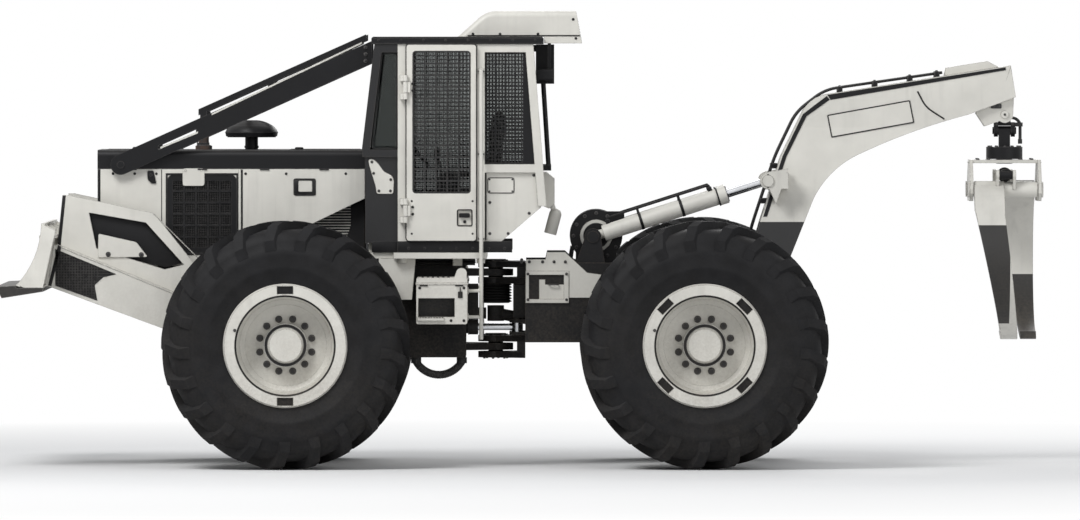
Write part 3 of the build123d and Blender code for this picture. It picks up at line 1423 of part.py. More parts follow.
# ---------------------------------------------------------------- boom
def boom():
    """The boom: a tapered box from two legs at the pivot to the tip over the grapple."""
    px, pz = BOOM_PIVOT
    side = [
        (px - 40, pz - 104),
        (px + 104, pz - 40),
        (px + 92, pz + 60),
        (-1963, 1815),
        (-2112, 2282),
        (-2264, 2596),
        (-2453, 2747, -2345, 2700),
        (-3822, 2960),
        (-3859, 2725),
        (-3508, 2595),
        (-2671, 2290, -2990, 2428),
        (-2357, 1973, -2500, 2168),
        (-2186, 1549),
        (px - 104, pz - 10),
    ]
    solid = side_plate(side, (-380, 380))
    legs = [
        (-372, 900),
        (-372, 1300),
        (-150, 2500),
        (-118, 3000),
        (118, 3000),
        (150, 2500),
        (372, 1300),
        (372, 900),
    ]
    body = solid & end_plate(legs, (-4200, -1500))
    gap = [(-252, 900), (-252, 1300), (-120, 1900), (120, 1900), (252, 1300), (252, 900)]
    body -= end_plate(gap, (-2600, -1500))
    for s in (-1, 1):
        body += cyl_y(px, (s * 254, s * 392), pz, 100)
        body -= cyl_y(px, (s * 200, s * 420), pz, BOOM_PIN_R + PIN_GAP)
    # reinforcing plates on the cheeks at the tip
    cheek = [
        (-3126, 2700),
        (-3780, 2830),
        (-3822, 2955),
        (-3859, 2725),
        (-3508, 2595),
        (-3330, 2570),
        (-3230, 2610),
        (-3150, 2670),
    ]
    body += side_plate(cheek, (-128, 128)) & solid
    # hose guard on top of the tip
    body += side_plate(
        [(-3326, 2874), (-3340, 2942), (-3650, 2992), (-3730, 2950), (-3730, 2930)], (-70, 70)
    )
    # rod lugs for the boom cylinders, on the front of the legs
    rx, rz = BOOM_ROD_PIN
    root = [(rx - 10, rz - 64), (rx + 56, rz), (rx + 8, rz + 63), (rx - 150, rz + 90), (rx - 60, rz - 170)]
    for s in (-1, 1):
        body += fork(BOOM_ROD_PIN, s * BOOM_CYL_Y, BOOM_EYE_W, 24, 60, root, BOOM_CYL_PIN_R, False)
        body += block(
            (rx - 150, rx - 84), (s * 150, s * (BOOM_CYL_Y + 68)), (rz - 60, rz + 60)
        )
    # lugs at the tip for the swing pin
    for s in (-1, 1):
        lug = side_plate(
            [
                (GRAPPLE_X - 62, SWING_PIN_Z),
                (GRAPPLE_X + 45, SWING_PIN_Z - 50),
                (GRAPPLE_X + 150, SWING_PIN_Z - 88),
                (GRAPPLE_X + 215, SWING_PIN_Z + 10),
                (GRAPPLE_X + 130, 2720),
                (GRAPPLE_X - 70, 2760),
            ],
            (s * 62, s * 92),
        )
        body += lug + cyl_y(GRAPPLE_X, (s * 62, s * 92), SWING_PIN_Z, 62)
    return body + cyl_y(GRAPPLE_X, (-104, 104), SWING_PIN_Z, SWING_PIN_R)


SWING_PIN_R = 30


def boom_cylinders():
    length, angle = cylinder_axis(BOOM_BASE_PIN, BOOM_ROD_PIN)
    tube = barrel(1040, BOOM_CYL_BORE, 58, BOOM_EYE_W, BOOM_CYL_PIN_R)
    shaft = rod(length, 210, BOOM_CYL_BORE, 56, BOOM_EYE_W)
    sides = (-BOOM_CYL_Y, BOOM_CYL_Y)
    tubes = [place(tube, BOOM_BASE_PIN, angle, y).solid() for y in sides]
    rods = [place(shaft, BOOM_BASE_PIN, angle, y).solid() for y in sides]
    return Compound(children=tubes), Compound(children=rods)


# ---------------------------------------------------------------- grapple
def grapple_link():
    """The upper link: an eye on the swing pin and a fork around the side-swing pin."""
    x = GRAPPLE_X
    eye = cyl_y(x, (-60, 60), SWING_PIN_Z, 58)
    neck = block((x - 45, x + 45), (-45, 45), (SIDE_PIN_Z + 40, SWING_PIN_Z))
    body = eye + neck
    body += block((x - 78, x + 78), (-45, 45), (SIDE_PIN_Z + 36, SIDE_PIN_Z + 62))
    for s in (-1, 1):
        body += block((x + s * 48, x + s * 78), (-45, 45), (SIDE_PIN_Z, SIDE_PIN_Z + 62))
        body += cyl_x((x + s * 48, x + s * 78), 0, SIDE_PIN_Z, 46)
    body += cyl_x((x - 88, x + 88), 0, SIDE_PIN_Z, SIDE_PIN_R)
    return body - cyl_y(x, (-70, 70), SWING_PIN_Z, SWING_PIN_R + PIN_GAP)


def grapple_hoses():
    """Two short hoses at the back of the link, clamped to its rear leg."""
    x, bend = GRAPPLE_X - 57, 60
    top, foot = SWING_PIN_Z - 25, SIDE_PIN_Z - 98
    clamp_z = (SIDE_PIN_Z + 30, SIDE_PIN_Z + 60)
    solids = block((x - bend - 18, GRAPPLE_X - 78 - SEAT_GAP), (-42, 42), clamp_z)
    diagonal = bend * sin(radians(45))
    for y in (-22, 22):
        start, end = (x - SEAT_GAP, y, top), (x - bend, y, top - bend)
        arc = ThreePointArc(start, (x - diagonal, y, top - bend + diagonal), end)
        hose = sweep(Plane(origin=arc @ 0, z_dir=arc % 0) * Circle(11), path=arc)
        solids += hose + cyl_z(x - bend, y, (foot, top - bend), 11)
        solids += cyl_z(x - bend, y, (foot, foot + 34), 15)
    return solids


SIDE_PIN_R = 26
ROTATOR_R = 135
HEAD_TOP_Z = 2235


def rotator():
    """The side-swing eye with the rotator's motor housing below it."""
    x = GRAPPLE_X
    top = HEAD_TOP_Z + 120
    body = cyl_x((x - 46, x + 46), 0, SIDE_PIN_Z, 34)
    body += block((x - 42, x + 42), (-34, 34), (top - 5, SIDE_PIN_Z))
    body += cyl_z(x, 0, (HEAD_TOP_Z + 30, top), ROTATOR_R)
    body += cyl_z(x, 0, (HEAD_TOP_Z - 5, HEAD_TOP_Z + 30), 60)
    return body - cyl_x((x - 60, x + 60), 0, SIDE_PIN_Z, SIDE_PIN_R + PIN_GAP)


def grapple_head():
    """Top plate, two cheek plates and the two long tong pins."""
    x = GRAPPLE_X
    plate = block((x - 265, x + 265), (-165, 165), (HEAD_TOP_Z, HEAD_TOP_Z + 25))
    plate -= cyl_z(x, 0, (HEAD_TOP_Z - 1, HEAD_TOP_Z + 26), 60 + PIN_GAP)
    half, waist = TONG_PIVOT_Y + 72, TONG_PIVOT_Y - 20
    cheek = [
        (-half, TONG_PIVOT_Z - 30),
        (-half, TONG_PIVOT_Z + 50),
        (-165, HEAD_TOP_Z + 25),
        (165, HEAD_TOP_Z + 25),
        (half, TONG_PIVOT_Z + 50),
        (half, TONG_PIVOT_Z - 30),
        (waist, TONG_PIVOT_Z - 85),
        (-waist, TONG_PIVOT_Z - 85),
    ]
    for s in (-1, 1):
        plate += end_plate(cheek, (x + s * 240, x + s * 265))
        y = s * TONG_PIVOT_Y
        plate += cyl_x((x - 265, x + 265), y, TONG_PIVOT_Z, TONG_PIN_R)
        for side in (-1, 1):
            plate += cyl_x((x + side * 265, x + side * 277), y, TONG_PIVOT_Z, 58)
    return plate


TONG_PIN_R = 38
TONG_HUB_R = 56


def tong(s):
    """One curved tong. The left tong's arm is in front of the right one's, so they pass."""
    x = GRAPPLE_X
    zc = (TONG_PIVOT_Z + TONG_TIP_Z) / 2 + 35
    drop = zc - TONG_TIP_Z

    def at(r, degrees_up, stretch=1.0):
        a = radians(degrees_up)
        return (r * cos(a) * stretch, zc + drop / 590 * r * sin(a))

    start_out, mid_out, tip = at(650, 58), at(640, -10), at(590, -97)
    start_in, mid_in = at(535, 60), at(540, -12)
    tip_in = at(535, -92)
    arm_points = [
        start_out,
        (*tip, *mid_out),
        tip_in,
        (*start_in, *mid_in),
    ]
    arm = end_plate(arm_points, (x - TONG_HALF_W, x + TONG_HALF_W))
    # the arms narrow and lean back towards their tips, side by side
    near, far, lean = (14, TONG_HALF_W + 1, TONG_LEAN) if s > 0 else (14, TONG_HALF_W + 1, -TONG_LEAN)
    tip_far = near + 120 - lean if s > 0 else far + 2
    taper = side_plate(
        [
            (x + near, TONG_PIVOT_Z - 190),
            (x + near - lean, TONG_TIP_Z - 10),
            (x + tip_far, TONG_TIP_Z - 10),
            (x + far, TONG_PIVOT_Z - 140),
            (x + far, TONG_PIVOT_Z + 300),
            (x + near, TONG_PIVOT_Z + 300),
        ],
        (-900, 900),
    )
    arm &= taper
    hub = cyl_x((x - TONG_HALF_W, x + TONG_HALF_W), TONG_PIVOT_Y, TONG_PIVOT_Z, TONG_HUB_R)
    web = end_plate(
        [
            (TONG_PIVOT_Y - 30, TONG_PIVOT_Z - 60),
            (TONG_PIVOT_Y + 20, TONG_PIVOT_Z + 64),
            at(648, 50),
            at(545, 42),
        ],
        (x + 15, x + TONG_HALF_W),
    )
    body = arm + hub + web
    a = radians(LEVER_TILT)
    ly, lz = TONG_PIVOT_Y + LEVER * sin(a), TONG_PIVOT_Z + LEVER * cos(a)
    for side in (-1, 1):
        span = (x + side * 50, x + side * 74)
        lever = end_plate(
            [
                (TONG_PIVOT_Y - 60, TONG_PIVOT_Z),
                (ly - 38, lz),
                (ly + 38, lz),
                (TONG_PIVOT_Y + 62, TONG_PIVOT_Z),
            ],
            span,
        )
        body += lever + cyl_x(span, ly, lz, 38)
    if s > 0:
        body += cyl_x((x - 74, x + 74), ly, lz, GRAB_PIN_R)
    body -= cyl_x((x - 260, x + 260), TONG_PIVOT_Y, TONG_PIVOT_Z, TONG_PIN_R + PIN_GAP)
    if s < 0:
        body = Pos(x, 0, 0) * Rot(0, 0, 180) * Pos(-x, 0, 0) * body
    return body


GRAB_PIN_R = 22
GRAB_BORE = 34
GRAB_EYE_W = 96


def grapple_cylinder():
    """The cylinder that drives both tongs, level between their levers."""
    a = radians(LEVER_TILT)
    ly, lz = TONG_PIVOT_Y + LEVER * sin(a), TONG_PIVOT_Z + LEVER * cos(a)
    tube = barrel(GRAB_TUBE, GRAB_BORE, GRAB_EYE_R, GRAB_EYE_W, GRAB_PIN_R)
    shaft = rod(2 * ly, GRAB_TUBE - 62, GRAB_BORE, GRAB_EYE_R, GRAB_EYE_W)
    turn = Pos(GRAPPLE_X, ly, lz) * Rot(0, 0, -90)
    return turn * tube, turn * shaft


GRAB_EYE_R = 32
# the tube ends 10 mm short of the rod's eye with the tongs fully open
GRAB_TUBE = 2 * (TONG_PIVOT_Y - LEVER * sin(radians(TONG_OPENS - LEVER_TILT))) - GRAB_EYE_R - 12


# ---------------------------------------------------------------- assembly
def steering_forks(body):
    """Lugs and pins on the front frame for the bases of the steering cylinders."""
    for s in (-1, 1):
        x, y = STEER_BASE[0], s * STEER_BASE[1]
        for side in (-1, 1):
            near = STEER_Z + side * (STEER_EYE_W / 2 + FACE_GAP)
            far = near + side * 20
            points = [(x - 44, y), (x + 44, y)]
            points += [(x + 70, s * RAIL_Y - s * 10), (x - 44, s * RAIL_Y - s * 10)]
            body += flat_plate(points, (near, far)) + cyl_z(x, y, (near, far), 44)
        body += cyl_z(x, y, (STEER_Z - 57, STEER_Z + 57), STEER_PIN_R)
    return body


def assembly():
    pieces = wheels()
    pieces["front_axle"] = axle(FRONT_AXLE_X, -1, (TRANSFER_X[1] + 40, TRANSFER_OUT_Z))
    pieces["rear_axle"] = rear_axle()
    pieces["front_chassis"] = steering_forks(front_chassis())
    pieces["heat_shields"] = heat_shields()
    pieces["powertrain"] = powertrain()
    pieces["hood_top"] = hood_top()
    pieces["hood_sides"] = hood_sides()
    screens = [*engine_side_screens().solids(), *quarter_screens().solids()]
    pieces["side_screens"] = Compound(children=screens)
    pieces["front_grille"] = front_grille()
    pieces["exhaust_stack"] = exhaust_stack()
    pieces["air_precleaner"] = air_precleaner()
    pieces["limb_risers"] = limb_risers()
    pieces["cab_frame"] = cab_frame()
    pieces["cab_roof"] = cab_roof()
    pieces["cab_lower_body"] = cab_lower_body() + rear_box()
    pieces["cab_deck"] = cab_deck()
    pieces["cab_glass"] = cab_glass()
    pieces["roof_cooler"] = roof_cooler()
    pieces["rear_guard"] = rear_guard()
    pieces["work_lights"] = work_lights()
    pieces["seat_frame"] = operator_seat()
    pieces["seat_cushions"] = seat_cushions()
    pieces["control_console"] = control_console()
    pieces["step_boxes"] = step_boxes()
    pieces["grab_rails"] = grab_rails()
    pieces["belly_hose"] = belly_hose()
    for side, s in (("left", 1), ("right", -1)):
        pieces[f"{side}_door"] = door(s)
        pieces[f"{side}_door_glass"] = door_glass(s)
        tube, shaft = steer_cylinder(s)
        pieces[f"{side}_steering_barrel"] = tube
        pieces[f"{side}_steering_rod"] = shaft
        pieces[f"{side}_tong"] = tong(s)
    pieces["blade"] = blade()
    pieces["cutting_edge"] = cutting_edge()
    pieces["blade_barrels"], pieces["blade_rods"] = blade_cylinders()
    pieces["rear_chassis"] = rear_chassis()
    pieces["winch"] = winch()
    pieces["winch_rope"] = winch_rope()
    pieces["boom"] = boom()
    pieces["boom_barrels"], pieces["boom_rods"] = boom_cylinders()
    pieces["grapple_link"] = grapple_link()
    pieces["grapple_hoses"] = grapple_hoses()
    pieces["rotator"] = rotator()
    pieces["grapple_head"] = grapple_head()
    pieces["grapple_barrel"], pieces["grapple_rod"] = grapple_cylinder()
    return pieces


# the machine's ends: the cutting edge in front and the grapple's pin caps behind
REAR_END_X = GRAPPLE_X - 277
SHIFT_X = -(BLADE_TIP_X + REAR_END_X) / 2

PIECES = {}
for name, shape in assembly().items():
    PIECES[name] = Compound(children=[s.moved(Location((SHIFT_X, 0, 0))) for s in shape.solids()])

if __name__ == "__main__":
    os.makedirs("parts", exist_ok=True)
    for name, shape in PIECES.items():
        export_step(shape, f"parts/{name}.step")
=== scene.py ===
"""Looks of an articulated grapple skidder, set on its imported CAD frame. Sizes are in metres."""

import math

import bmesh
import bpy
from mathutils import Matrix, Vector


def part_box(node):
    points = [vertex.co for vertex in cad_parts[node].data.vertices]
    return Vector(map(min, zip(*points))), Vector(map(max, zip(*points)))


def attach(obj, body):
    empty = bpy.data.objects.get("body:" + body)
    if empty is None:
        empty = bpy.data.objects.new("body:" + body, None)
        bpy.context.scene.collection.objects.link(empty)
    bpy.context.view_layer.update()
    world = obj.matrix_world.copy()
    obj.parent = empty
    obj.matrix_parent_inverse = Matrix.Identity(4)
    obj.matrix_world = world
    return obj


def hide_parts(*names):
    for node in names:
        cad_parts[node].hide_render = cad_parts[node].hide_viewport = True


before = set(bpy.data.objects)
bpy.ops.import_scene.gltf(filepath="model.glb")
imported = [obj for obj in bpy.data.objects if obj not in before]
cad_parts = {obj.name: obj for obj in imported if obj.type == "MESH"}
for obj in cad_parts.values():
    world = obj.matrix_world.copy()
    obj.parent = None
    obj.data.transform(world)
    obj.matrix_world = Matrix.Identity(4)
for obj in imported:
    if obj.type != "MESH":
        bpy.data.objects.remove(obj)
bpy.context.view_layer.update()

# ------------------------------------------------------------------ the yard
# The machine stands on a plain pale floor in soft light. It is seen square from its left side
# through a very long lens, a little above axle height, so its lines stay nearly parallel.
WAY_OFF, EYE_ABOVE = 90.0, 1.5
SEEN_WIDTH, SENSOR_WIDTH = 7.992, 36.0
SEEN_CENTRE = Vector((-0.135, 0.35, 1.520))
FLOOR_HALF, FADE_START, FADE_END = 60.0, 5.0, 11.0
WHITE = (1.0, 1.0, 1.0, 1.0)


def add_object(name, data):
    """Puts a new object into the scene."""
    made = bpy.data.objects.new(name, data)
    bpy.context.scene.collection.objects.link(made)
    return made


def aim(thing, place, target):
    """Stands a camera or a lamp at a place and turns it to look at a target."""
    thing.location = place
    thing.rotation_mode = "QUATERNION"
    thing.rotation_quaternion = (Vector(target) - Vector(place)).to_track_quat("-Z", "Y")


def feed(node, inputs):
    """Sets a node's inputs, each to a plain value or to another node's output socket."""
    for key, value in dict(inputs).items():
        if isinstance(value, bpy.types.NodeSocket):
            node.id_data.links.new(value, node.inputs[key])
        else:
            node.inputs[key].default_value = value


def shader_node(tree, kind, inputs=(), **settings):
    """Adds a shader node and feeds it."""
    made = tree.nodes.new("ShaderNode" + kind)
    for key, value in settings.items():
        setattr(made, key, value)
    feed(made, inputs)
    return made


def joined(tree, how, first, second, **settings):
    """Two values joined by a sum, a product or the like."""
    made = shader_node(tree, "Math", {0: first, 1: second}, operation=how, **settings)
    return made.outputs["Value"]


def remapped(tree, value, start, end, low=0.0, high=1.0):
    """A value carried from one range to another and held at its ends."""
    ranges = {"Value": value, "From Min": start, "From Max": end, "To Min": low, "To Max": high}
    return shader_node(tree, "MapRange", ranges).outputs["Result"]


def new_material(name):
    """An empty node material with one Principled shader that reaches its output."""
    material = bpy.data.materials.new(name)
    material.use_nodes = True
    tree = material.node_tree
    tree.nodes.clear()
    shader = shader_node(tree, "BsdfPrincipled")
    shader_node(tree, "OutputMaterial", {"Surface": shader.outputs["BSDF"]})
    return material, tree, shader


camera_data = bpy.data.cameras.new("side_camera")
camera_data.sensor_width = SENSOR_WIDTH
camera_data.lens = SENSOR_WIDTH * WAY_OFF / SEEN_WIDTH
camera_data.clip_start, camera_data.clip_end = 1.0, 400.0
camera = add_object("side_camera", camera_data)
aim(camera, SEEN_CENTRE + Vector((0.0, WAY_OFF, EYE_ABOVE)), SEEN_CENTRE)
bpy.context.scene.camera = camera
bpy.context.scene.view_settings.view_transform = "Standard"

floor_bm = bmesh.new()
bmesh.ops.create_grid(floor_bm, x_segments=1, y_segments=1, size=FLOOR_HALF)
floor_mesh = bpy.data.meshes.new("floor")
floor_bm.to_mesh(floor_mesh)
floor_bm.free()
floor = add_object("floor", floor_mesh)
# the floor fades to pure white a few metres away, but only as the camera sees it
floor_paint, tree, shader = new_material("pale_floor")
feed(shader, {"Base Color": (0.80, 0.80, 0.80, 1.0), "Roughness": 0.9, "Specular IOR Level": 0.1})
spot = shader_node(tree, "TexCoord").outputs["Object"]
away = shader_node(tree, "VectorMath", {0: spot}, operation="LENGTH").outputs["Value"]
fade = remapped(tree, away, FADE_START, FADE_END)
ray = shader_node(tree, "LightPath")
whitened = joined(tree, "MULTIPLY", ray.outputs["Is Camera Ray"], fade)
white = shader_node(tree, "Emission", {"Color": WHITE, "Strength": 1.0}).outputs["Emission"]
blend = shader_node(tree, "MixShader", {0: whitened, 1: shader.outputs["BSDF"], 2: white})
feed(shader.outputs["BSDF"].links[0].to_node, {"Surface": blend.outputs["Shader"]})
floor_mesh.materials.append(floor_paint)

world = bpy.data.worlds.new("open_shade")
bpy.context.scene.world = world
world.use_nodes = True
tree = world.node_tree
tree.nodes.clear()
ray = shader_node(tree, "LightPath").outputs
through = joined(tree, "MAXIMUM", ray["Is Camera Ray"], ray["Is Transmission Ray"])
through = joined(tree, "MAXIMUM", through, ray["Is Glossy Ray"])
soft_sky = shader_node(tree, "Background", {"Color": (0.95, 0.97, 1.0, 1.0), "Strength": 0.42})
white_sky = shader_node(tree, "Background", {"Color": WHITE, "Strength": 1.0})
skies = {0: through, 1: soft_sky.outputs[0], 2: white_sky.outputs[0]}
blend = shader_node(tree, "MixShader", skies)
shader_node(tree, "OutputWorld", {"Surface": blend.outputs["Shader"]})

for name, place, target, size, power in (
    ("key_lamp", (6.0, 8.0, 11.0), (0.0, 0.0, 1.2), 5.0, 1180.0),
    ("fill_lamp", (-9.0, 10.0, 5.0), (0.0, 0.0, 1.5), 7.0, 300.0),
    ("back_lamp", (-3.0, -10.0, 8.0), (0.0, 0.0, 1.5), 7.0, 600.0),
):
    lamp_data = bpy.data.lights.new(name, "AREA")
    lamp_data.shape = "SQUARE"
    lamp_data.size = size
    lamp_data.energy = power
    aim(add_object(name, lamp_data), place, target)

# ------------------------------------------------------------------ tyres
# Forestry tyres of black rubber, moulded in one piece: a round carcass with ringed sidewalls,
# and two rows of deep slanted bars that meet near the middle and run down over the shoulders.
COLOUR, NUMBER, PLACE = "NodeSocketColor", "NodeSocketFloat", "NodeSocketVector"
MID_GREY = (0.5, 0.5, 0.5, 1.0)
SIDES = (("left", 1), ("right", -1))


def effect_group(name, takes, gives):
    """An empty shader node group, with its inputs to read and its output node to feed."""
    group = bpy.data.node_groups.new(name, "ShaderNodeTree")
    for label, kind, start in takes:
        socket = group.interface.new_socket(label, in_out="INPUT", socket_type=kind)
        socket.default_value = start
    for label, kind in gives:
        group.interface.new_socket(label, in_out="OUTPUT", socket_type=kind)
    return group, group.nodes.new("NodeGroupInput").outputs, group.nodes.new("NodeGroupOutput")


def use_effect(tree, group, inputs):
    """Places an effect group in a material with that material's own values."""
    made = tree.nodes.new("ShaderNodeGroup")
    made.node_tree = group
    feed(made, inputs)
    return made.outputs


def noise(tree, place, scale, detail, roughness=0.5):
    """Cloudy noise, read at a place."""
    looks = {"Vector": place, "Scale": scale, "Detail": detail, "Roughness": roughness}
    return shader_node(tree, "TexNoise", looks).outputs["Fac"]


def mixed(tree, share, first, second):
    """Two colours mixed by the second one's share."""
    return shader_node(tree, "Mix", {0: share, 6: first, 7: second}, data_type="RGBA").outputs[2]


def scaled(tree, colour, factor):
    """A colour made lighter or darker by a factor."""
    made = shader_node(tree, "VectorMath", {0: colour, "Scale": factor}, operation="SCALE")
    return made.outputs["Vector"]


def bumped(tree, height, strength, distance):
    """The normal of a surface that a height raises."""
    raised = {"Height": height, "Strength": strength, "Distance": distance}
    return shader_node(tree, "Bump", raised).outputs["Normal"]


# Dry forest soil: thick near the ground, thinner higher up, and settled on faces that look up.
dust_effect, takes, gives = effect_group(
    "forest_dust",
    [
        ("Colour", COLOUR, MID_GREY),
        ("Soil", COLOUR, (0.23, 0.19, 0.145, 1.0)),
        ("Amount", NUMBER, 0.5),
        ("Reach", NUMBER, 1.6),
    ],
    [("Colour", COLOUR), ("Mask", NUMBER)],
)
spot = shader_node(dust_effect, "TexCoord").outputs["Object"]
height = shader_node(dust_effect, "SeparateXYZ", {0: spot}).outputs["Z"]
low_down = remapped(dust_effect, height, takes["Reach"], 0.1)
facing = shader_node(dust_effect, "NewGeometry").outputs["Normal"]
upward = shader_node(dust_effect, "SeparateXYZ", {0: facing}).outputs["Z"]
lying = remapped(dust_effect, upward, 0.45, 1.0, 0.0, 0.55)
cover = joined(dust_effect, "ADD", low_down, lying)
patches = noise(dust_effect, spot, 2.6, 7.0, 0.62)
specks = noise(dust_effect, spot, 55.0, 3.0, 0.7)
mottle = remapped(dust_effect, joined(dust_effect, "MULTIPLY", patches, specks), 0.16, 0.40)
mask = joined(dust_effect, "MULTIPLY", cover, mottle)
mask = joined(dust_effect, "MULTIPLY", mask, takes["Amount"], use_clamp=True)
feed(gives, {"Colour": mixed(dust_effect, mask, takes["Colour"], takes["Soil"]), "Mask": mask})

# Fine unevenness of a surface: a height for a bump, and a slow tone that varies the colour.
grain_effect, takes, gives = effect_group(
    "surface_grain",
    [("Grain Scale", NUMBER, 220.0), ("Ripple Scale", NUMBER, 6.0), ("Ripple Share", NUMBER, 0.4)],
    [("Height", NUMBER), ("Tone", NUMBER)],
)
spot = shader_node(grain_effect, "TexCoord").outputs["Object"]
fine = noise(grain_effect, spot, takes["Grain Scale"], 4.0)
ripple = noise(grain_effect, spot, takes["Ripple Scale"], 5.0)
both = shader_node(
    grain_effect, "Mix", {0: takes["Ripple Share"], 2: fine, 3: ripple}, data_type="FLOAT"
)
feed(gives, {"Height": both.outputs[0], "Tone": ripple})


def grain_of(tree, fine_scale, ripple_scale, share=0.4):
    """The unevenness of one surface, from the scales of its fine grain and its ripples."""
    scales = {"Grain Scale": fine_scale, "Ripple Scale": ripple_scale, "Ripple Share": share}
    return use_effect(tree, grain_effect, scales)


def toned(tree, grain, colour, least, most):
    """A colour that lightens and darkens slowly with a grain effect's tone."""
    return scaled(tree, colour, remapped(tree, grain["Tone"], 0.3, 0.7, least, most))


tyre_rubber, tree, shader = new_material("tyre_rubber")
grain = grain_of(tree, 160.0, 9.0)
black = toned(tree, grain, (0.010, 0.010, 0.011), 0.75, 1.3)
soil = {"Colour": black, "Soil": (0.060, 0.052, 0.043, 1.0), "Amount": 0.28, "Reach": 1.9}
dust = use_effect(tree, dust_effect, soil)
feed(
    shader,
    {
        "Base Color": dust["Colour"],
        "Roughness": remapped(tree, dust["Mask"], 0.0, 1.0, 0.6, 0.92),
        "Normal": bumped(tree, grain["Height"], 0.35, 0.002),
        "Specular IOR Level": 0.16,
    },
)


def smooth_by_angle(bm, limit):
    """Round faces shade smooth, and edges sharper than the limit in degrees stay crisp."""
    for face in bm.faces:
        face.smooth = True
    for edge in bm.edges:
        edge.smooth = edge.is_manifold and edge.calc_face_angle(0.0) < math.radians(limit)


def finish_piece(name, bm, material, body, slot, *stands_for, smooth=None):
    """Turns a bmesh into a piece that rides on a CAD body, and may stand for CAD nodes."""
    if smooth:
        smooth_by_angle(bm, smooth)
    mesh = bpy.data.meshes.new(name)
    bm.to_mesh(mesh)
    bm.free()
    mesh.materials.append(material)
    piece = add_object(name, mesh)
    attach(piece, body)
    if stands_for:
        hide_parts(*stands_for)
    return piece


def faces_of(verts):
    """The faces that touch some corners."""
    return list({f for v in verts for f in v.link_faces})


def edges_of(verts):
    """The edges that touch some corners."""
    return list({e for v in verts for e in v.link_edges})


TREAD_R = 0.862
TOP_R = 0.9092
BARS = 21
# distance from the tyre's middle plane and radius, along the carcass and along the bars' tops
CARCASS_LINE = (
    (0.345, 0.4106), (0.350, 0.470), (0.372, 0.545), (0.3800, 0.560), (0.3835, 0.575),
    (0.3800, 0.590), (0.3835, 0.660), (0.3850, 0.705), (0.3790, 0.712), (0.3740, 0.760),
    (0.3520, 0.812), (0.3050, 0.846), (0.1500, 0.860), (0.0, TREAD_R),
)
BAR_TOP_LINE = ((0.0, TOP_R), (0.3105, TOP_R), (0.3605, 0.8600), (0.3865, 0.7770))
# a bar's root lies this far under the tread, from near the middle to the shoulder
ROOT_DEPTH, BAR_INNER, BAR_OUTER = 0.012, 0.012, 0.3862


def radius_at(line, aside):
    """Reads a profile line, given from the middle outwards, at one distance from the middle."""
    for (a0, r0), (a1, r1) in zip(line, line[1:]):
        if a0 <= aside <= a1:
            return r0 + (r1 - r0) * (aside - a0) / (a1 - a0)
    return line[-1][1] if aside > line[-1][0] else line[0][1]


def add_spun(bm, line, steps, centre, axis="Y"):
    """Spins an open line of (along, radius) points a full turn about an axis through centre."""
    verts = [bm.verts.new((0.0, along, radius)) for along, radius in line]
    edges = [bm.edges.new(pair) for pair in zip(verts, verts[1:])]
    before = set(bm.verts) - set(verts)
    bmesh.ops.spin(
        bm,
        geom=verts + edges,
        cent=(0, 0, 0),
        axis=(0, 1, 0),
        angle=math.tau,
        steps=steps,
        use_merge=True,
        use_duplicate=False,
    )
    made = [v for v in bm.verts if v not in before]
    bmesh.ops.recalc_face_normals(bm, faces=faces_of(made))
    turn = {
        "X": Matrix.Rotation(-math.pi / 2, 4, "Z"),
        "Y": Matrix.Identity(4),
        "Z": Matrix.Rotation(math.pi / 2, 4, "X"),
    }[axis]
    bmesh.ops.transform(bm, matrix=Matrix.Translation(centre) @ turn, verts=made)
    return made


def add_tread_bar(bm, side, start, hand):
    """One slanted bar: a strip bent round the carcass, raised to the tread's outer radius."""
    under = [(a, r - ROOT_DEPTH) for a, r in reversed(CARCASS_LINE[8:])]
    strip = bmesh.ops.create_grid(bm, x_segments=1, y_segments=8, size=0.5)["verts"]
    raised = bmesh.ops.extrude_face_region(bm, geom=faces_of(strip), use_keep_orig=True)["geom"]
    tops = [v for v in raised if isinstance(v, bmesh.types.BMVert)]
    for verts, is_top in ((strip, False), (tops, True)):
        for v in verts:
            along = v.co.y + 0.5
            aside = BAR_INNER + (BAR_OUTER - BAR_INNER) * along
            wide = (0.056 + 0.034 * along) * (0.88 if is_top else 1.18)
            bend = 0.30 * along - 0.03 * math.sin(along * math.pi)
            turn = start + hand * bend + v.co.x * wide / 0.9
            r = radius_at(BAR_TOP_LINE if is_top else under, aside)
            v.co = Vector((r * math.sin(turn), side * aside, r * math.cos(turn)))
    bmesh.ops.recalc_face_normals(bm, faces=faces_of([*strip, *tops]))


hubs = {}
for axle in ("front", "rear"):
    for side, hand in SIDES:
        low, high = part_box(f"{axle}_{side}_tyre")
        hub = (low + high) / 2
        hubs[axle, side] = hub
        bm = bmesh.new()
        line = [(-a, r) for a, r in CARCASS_LINE]
        line += reversed(CARCASS_LINE[:-1])
        add_spun(bm, line, 96, (0, 0, 0))
        smooth_by_angle(bm, 50)
        for row in (-1, 1):
            for k in range(BARS):
                add_tread_bar(bm, row, (k + (0.5 if row > 0 else 0.0)) * math.tau / BARS, hand)
        bmesh.ops.translate(bm, vec=hub, verts=bm.verts)
        finish_piece(
            f"{axle}_{side}_treaded_tyre",
            bm,
            tyre_rubber,
            f"{axle}_{side}_wheel",
            "tyre_rubber",
            f"{axle}_{side}_tyre",
        )

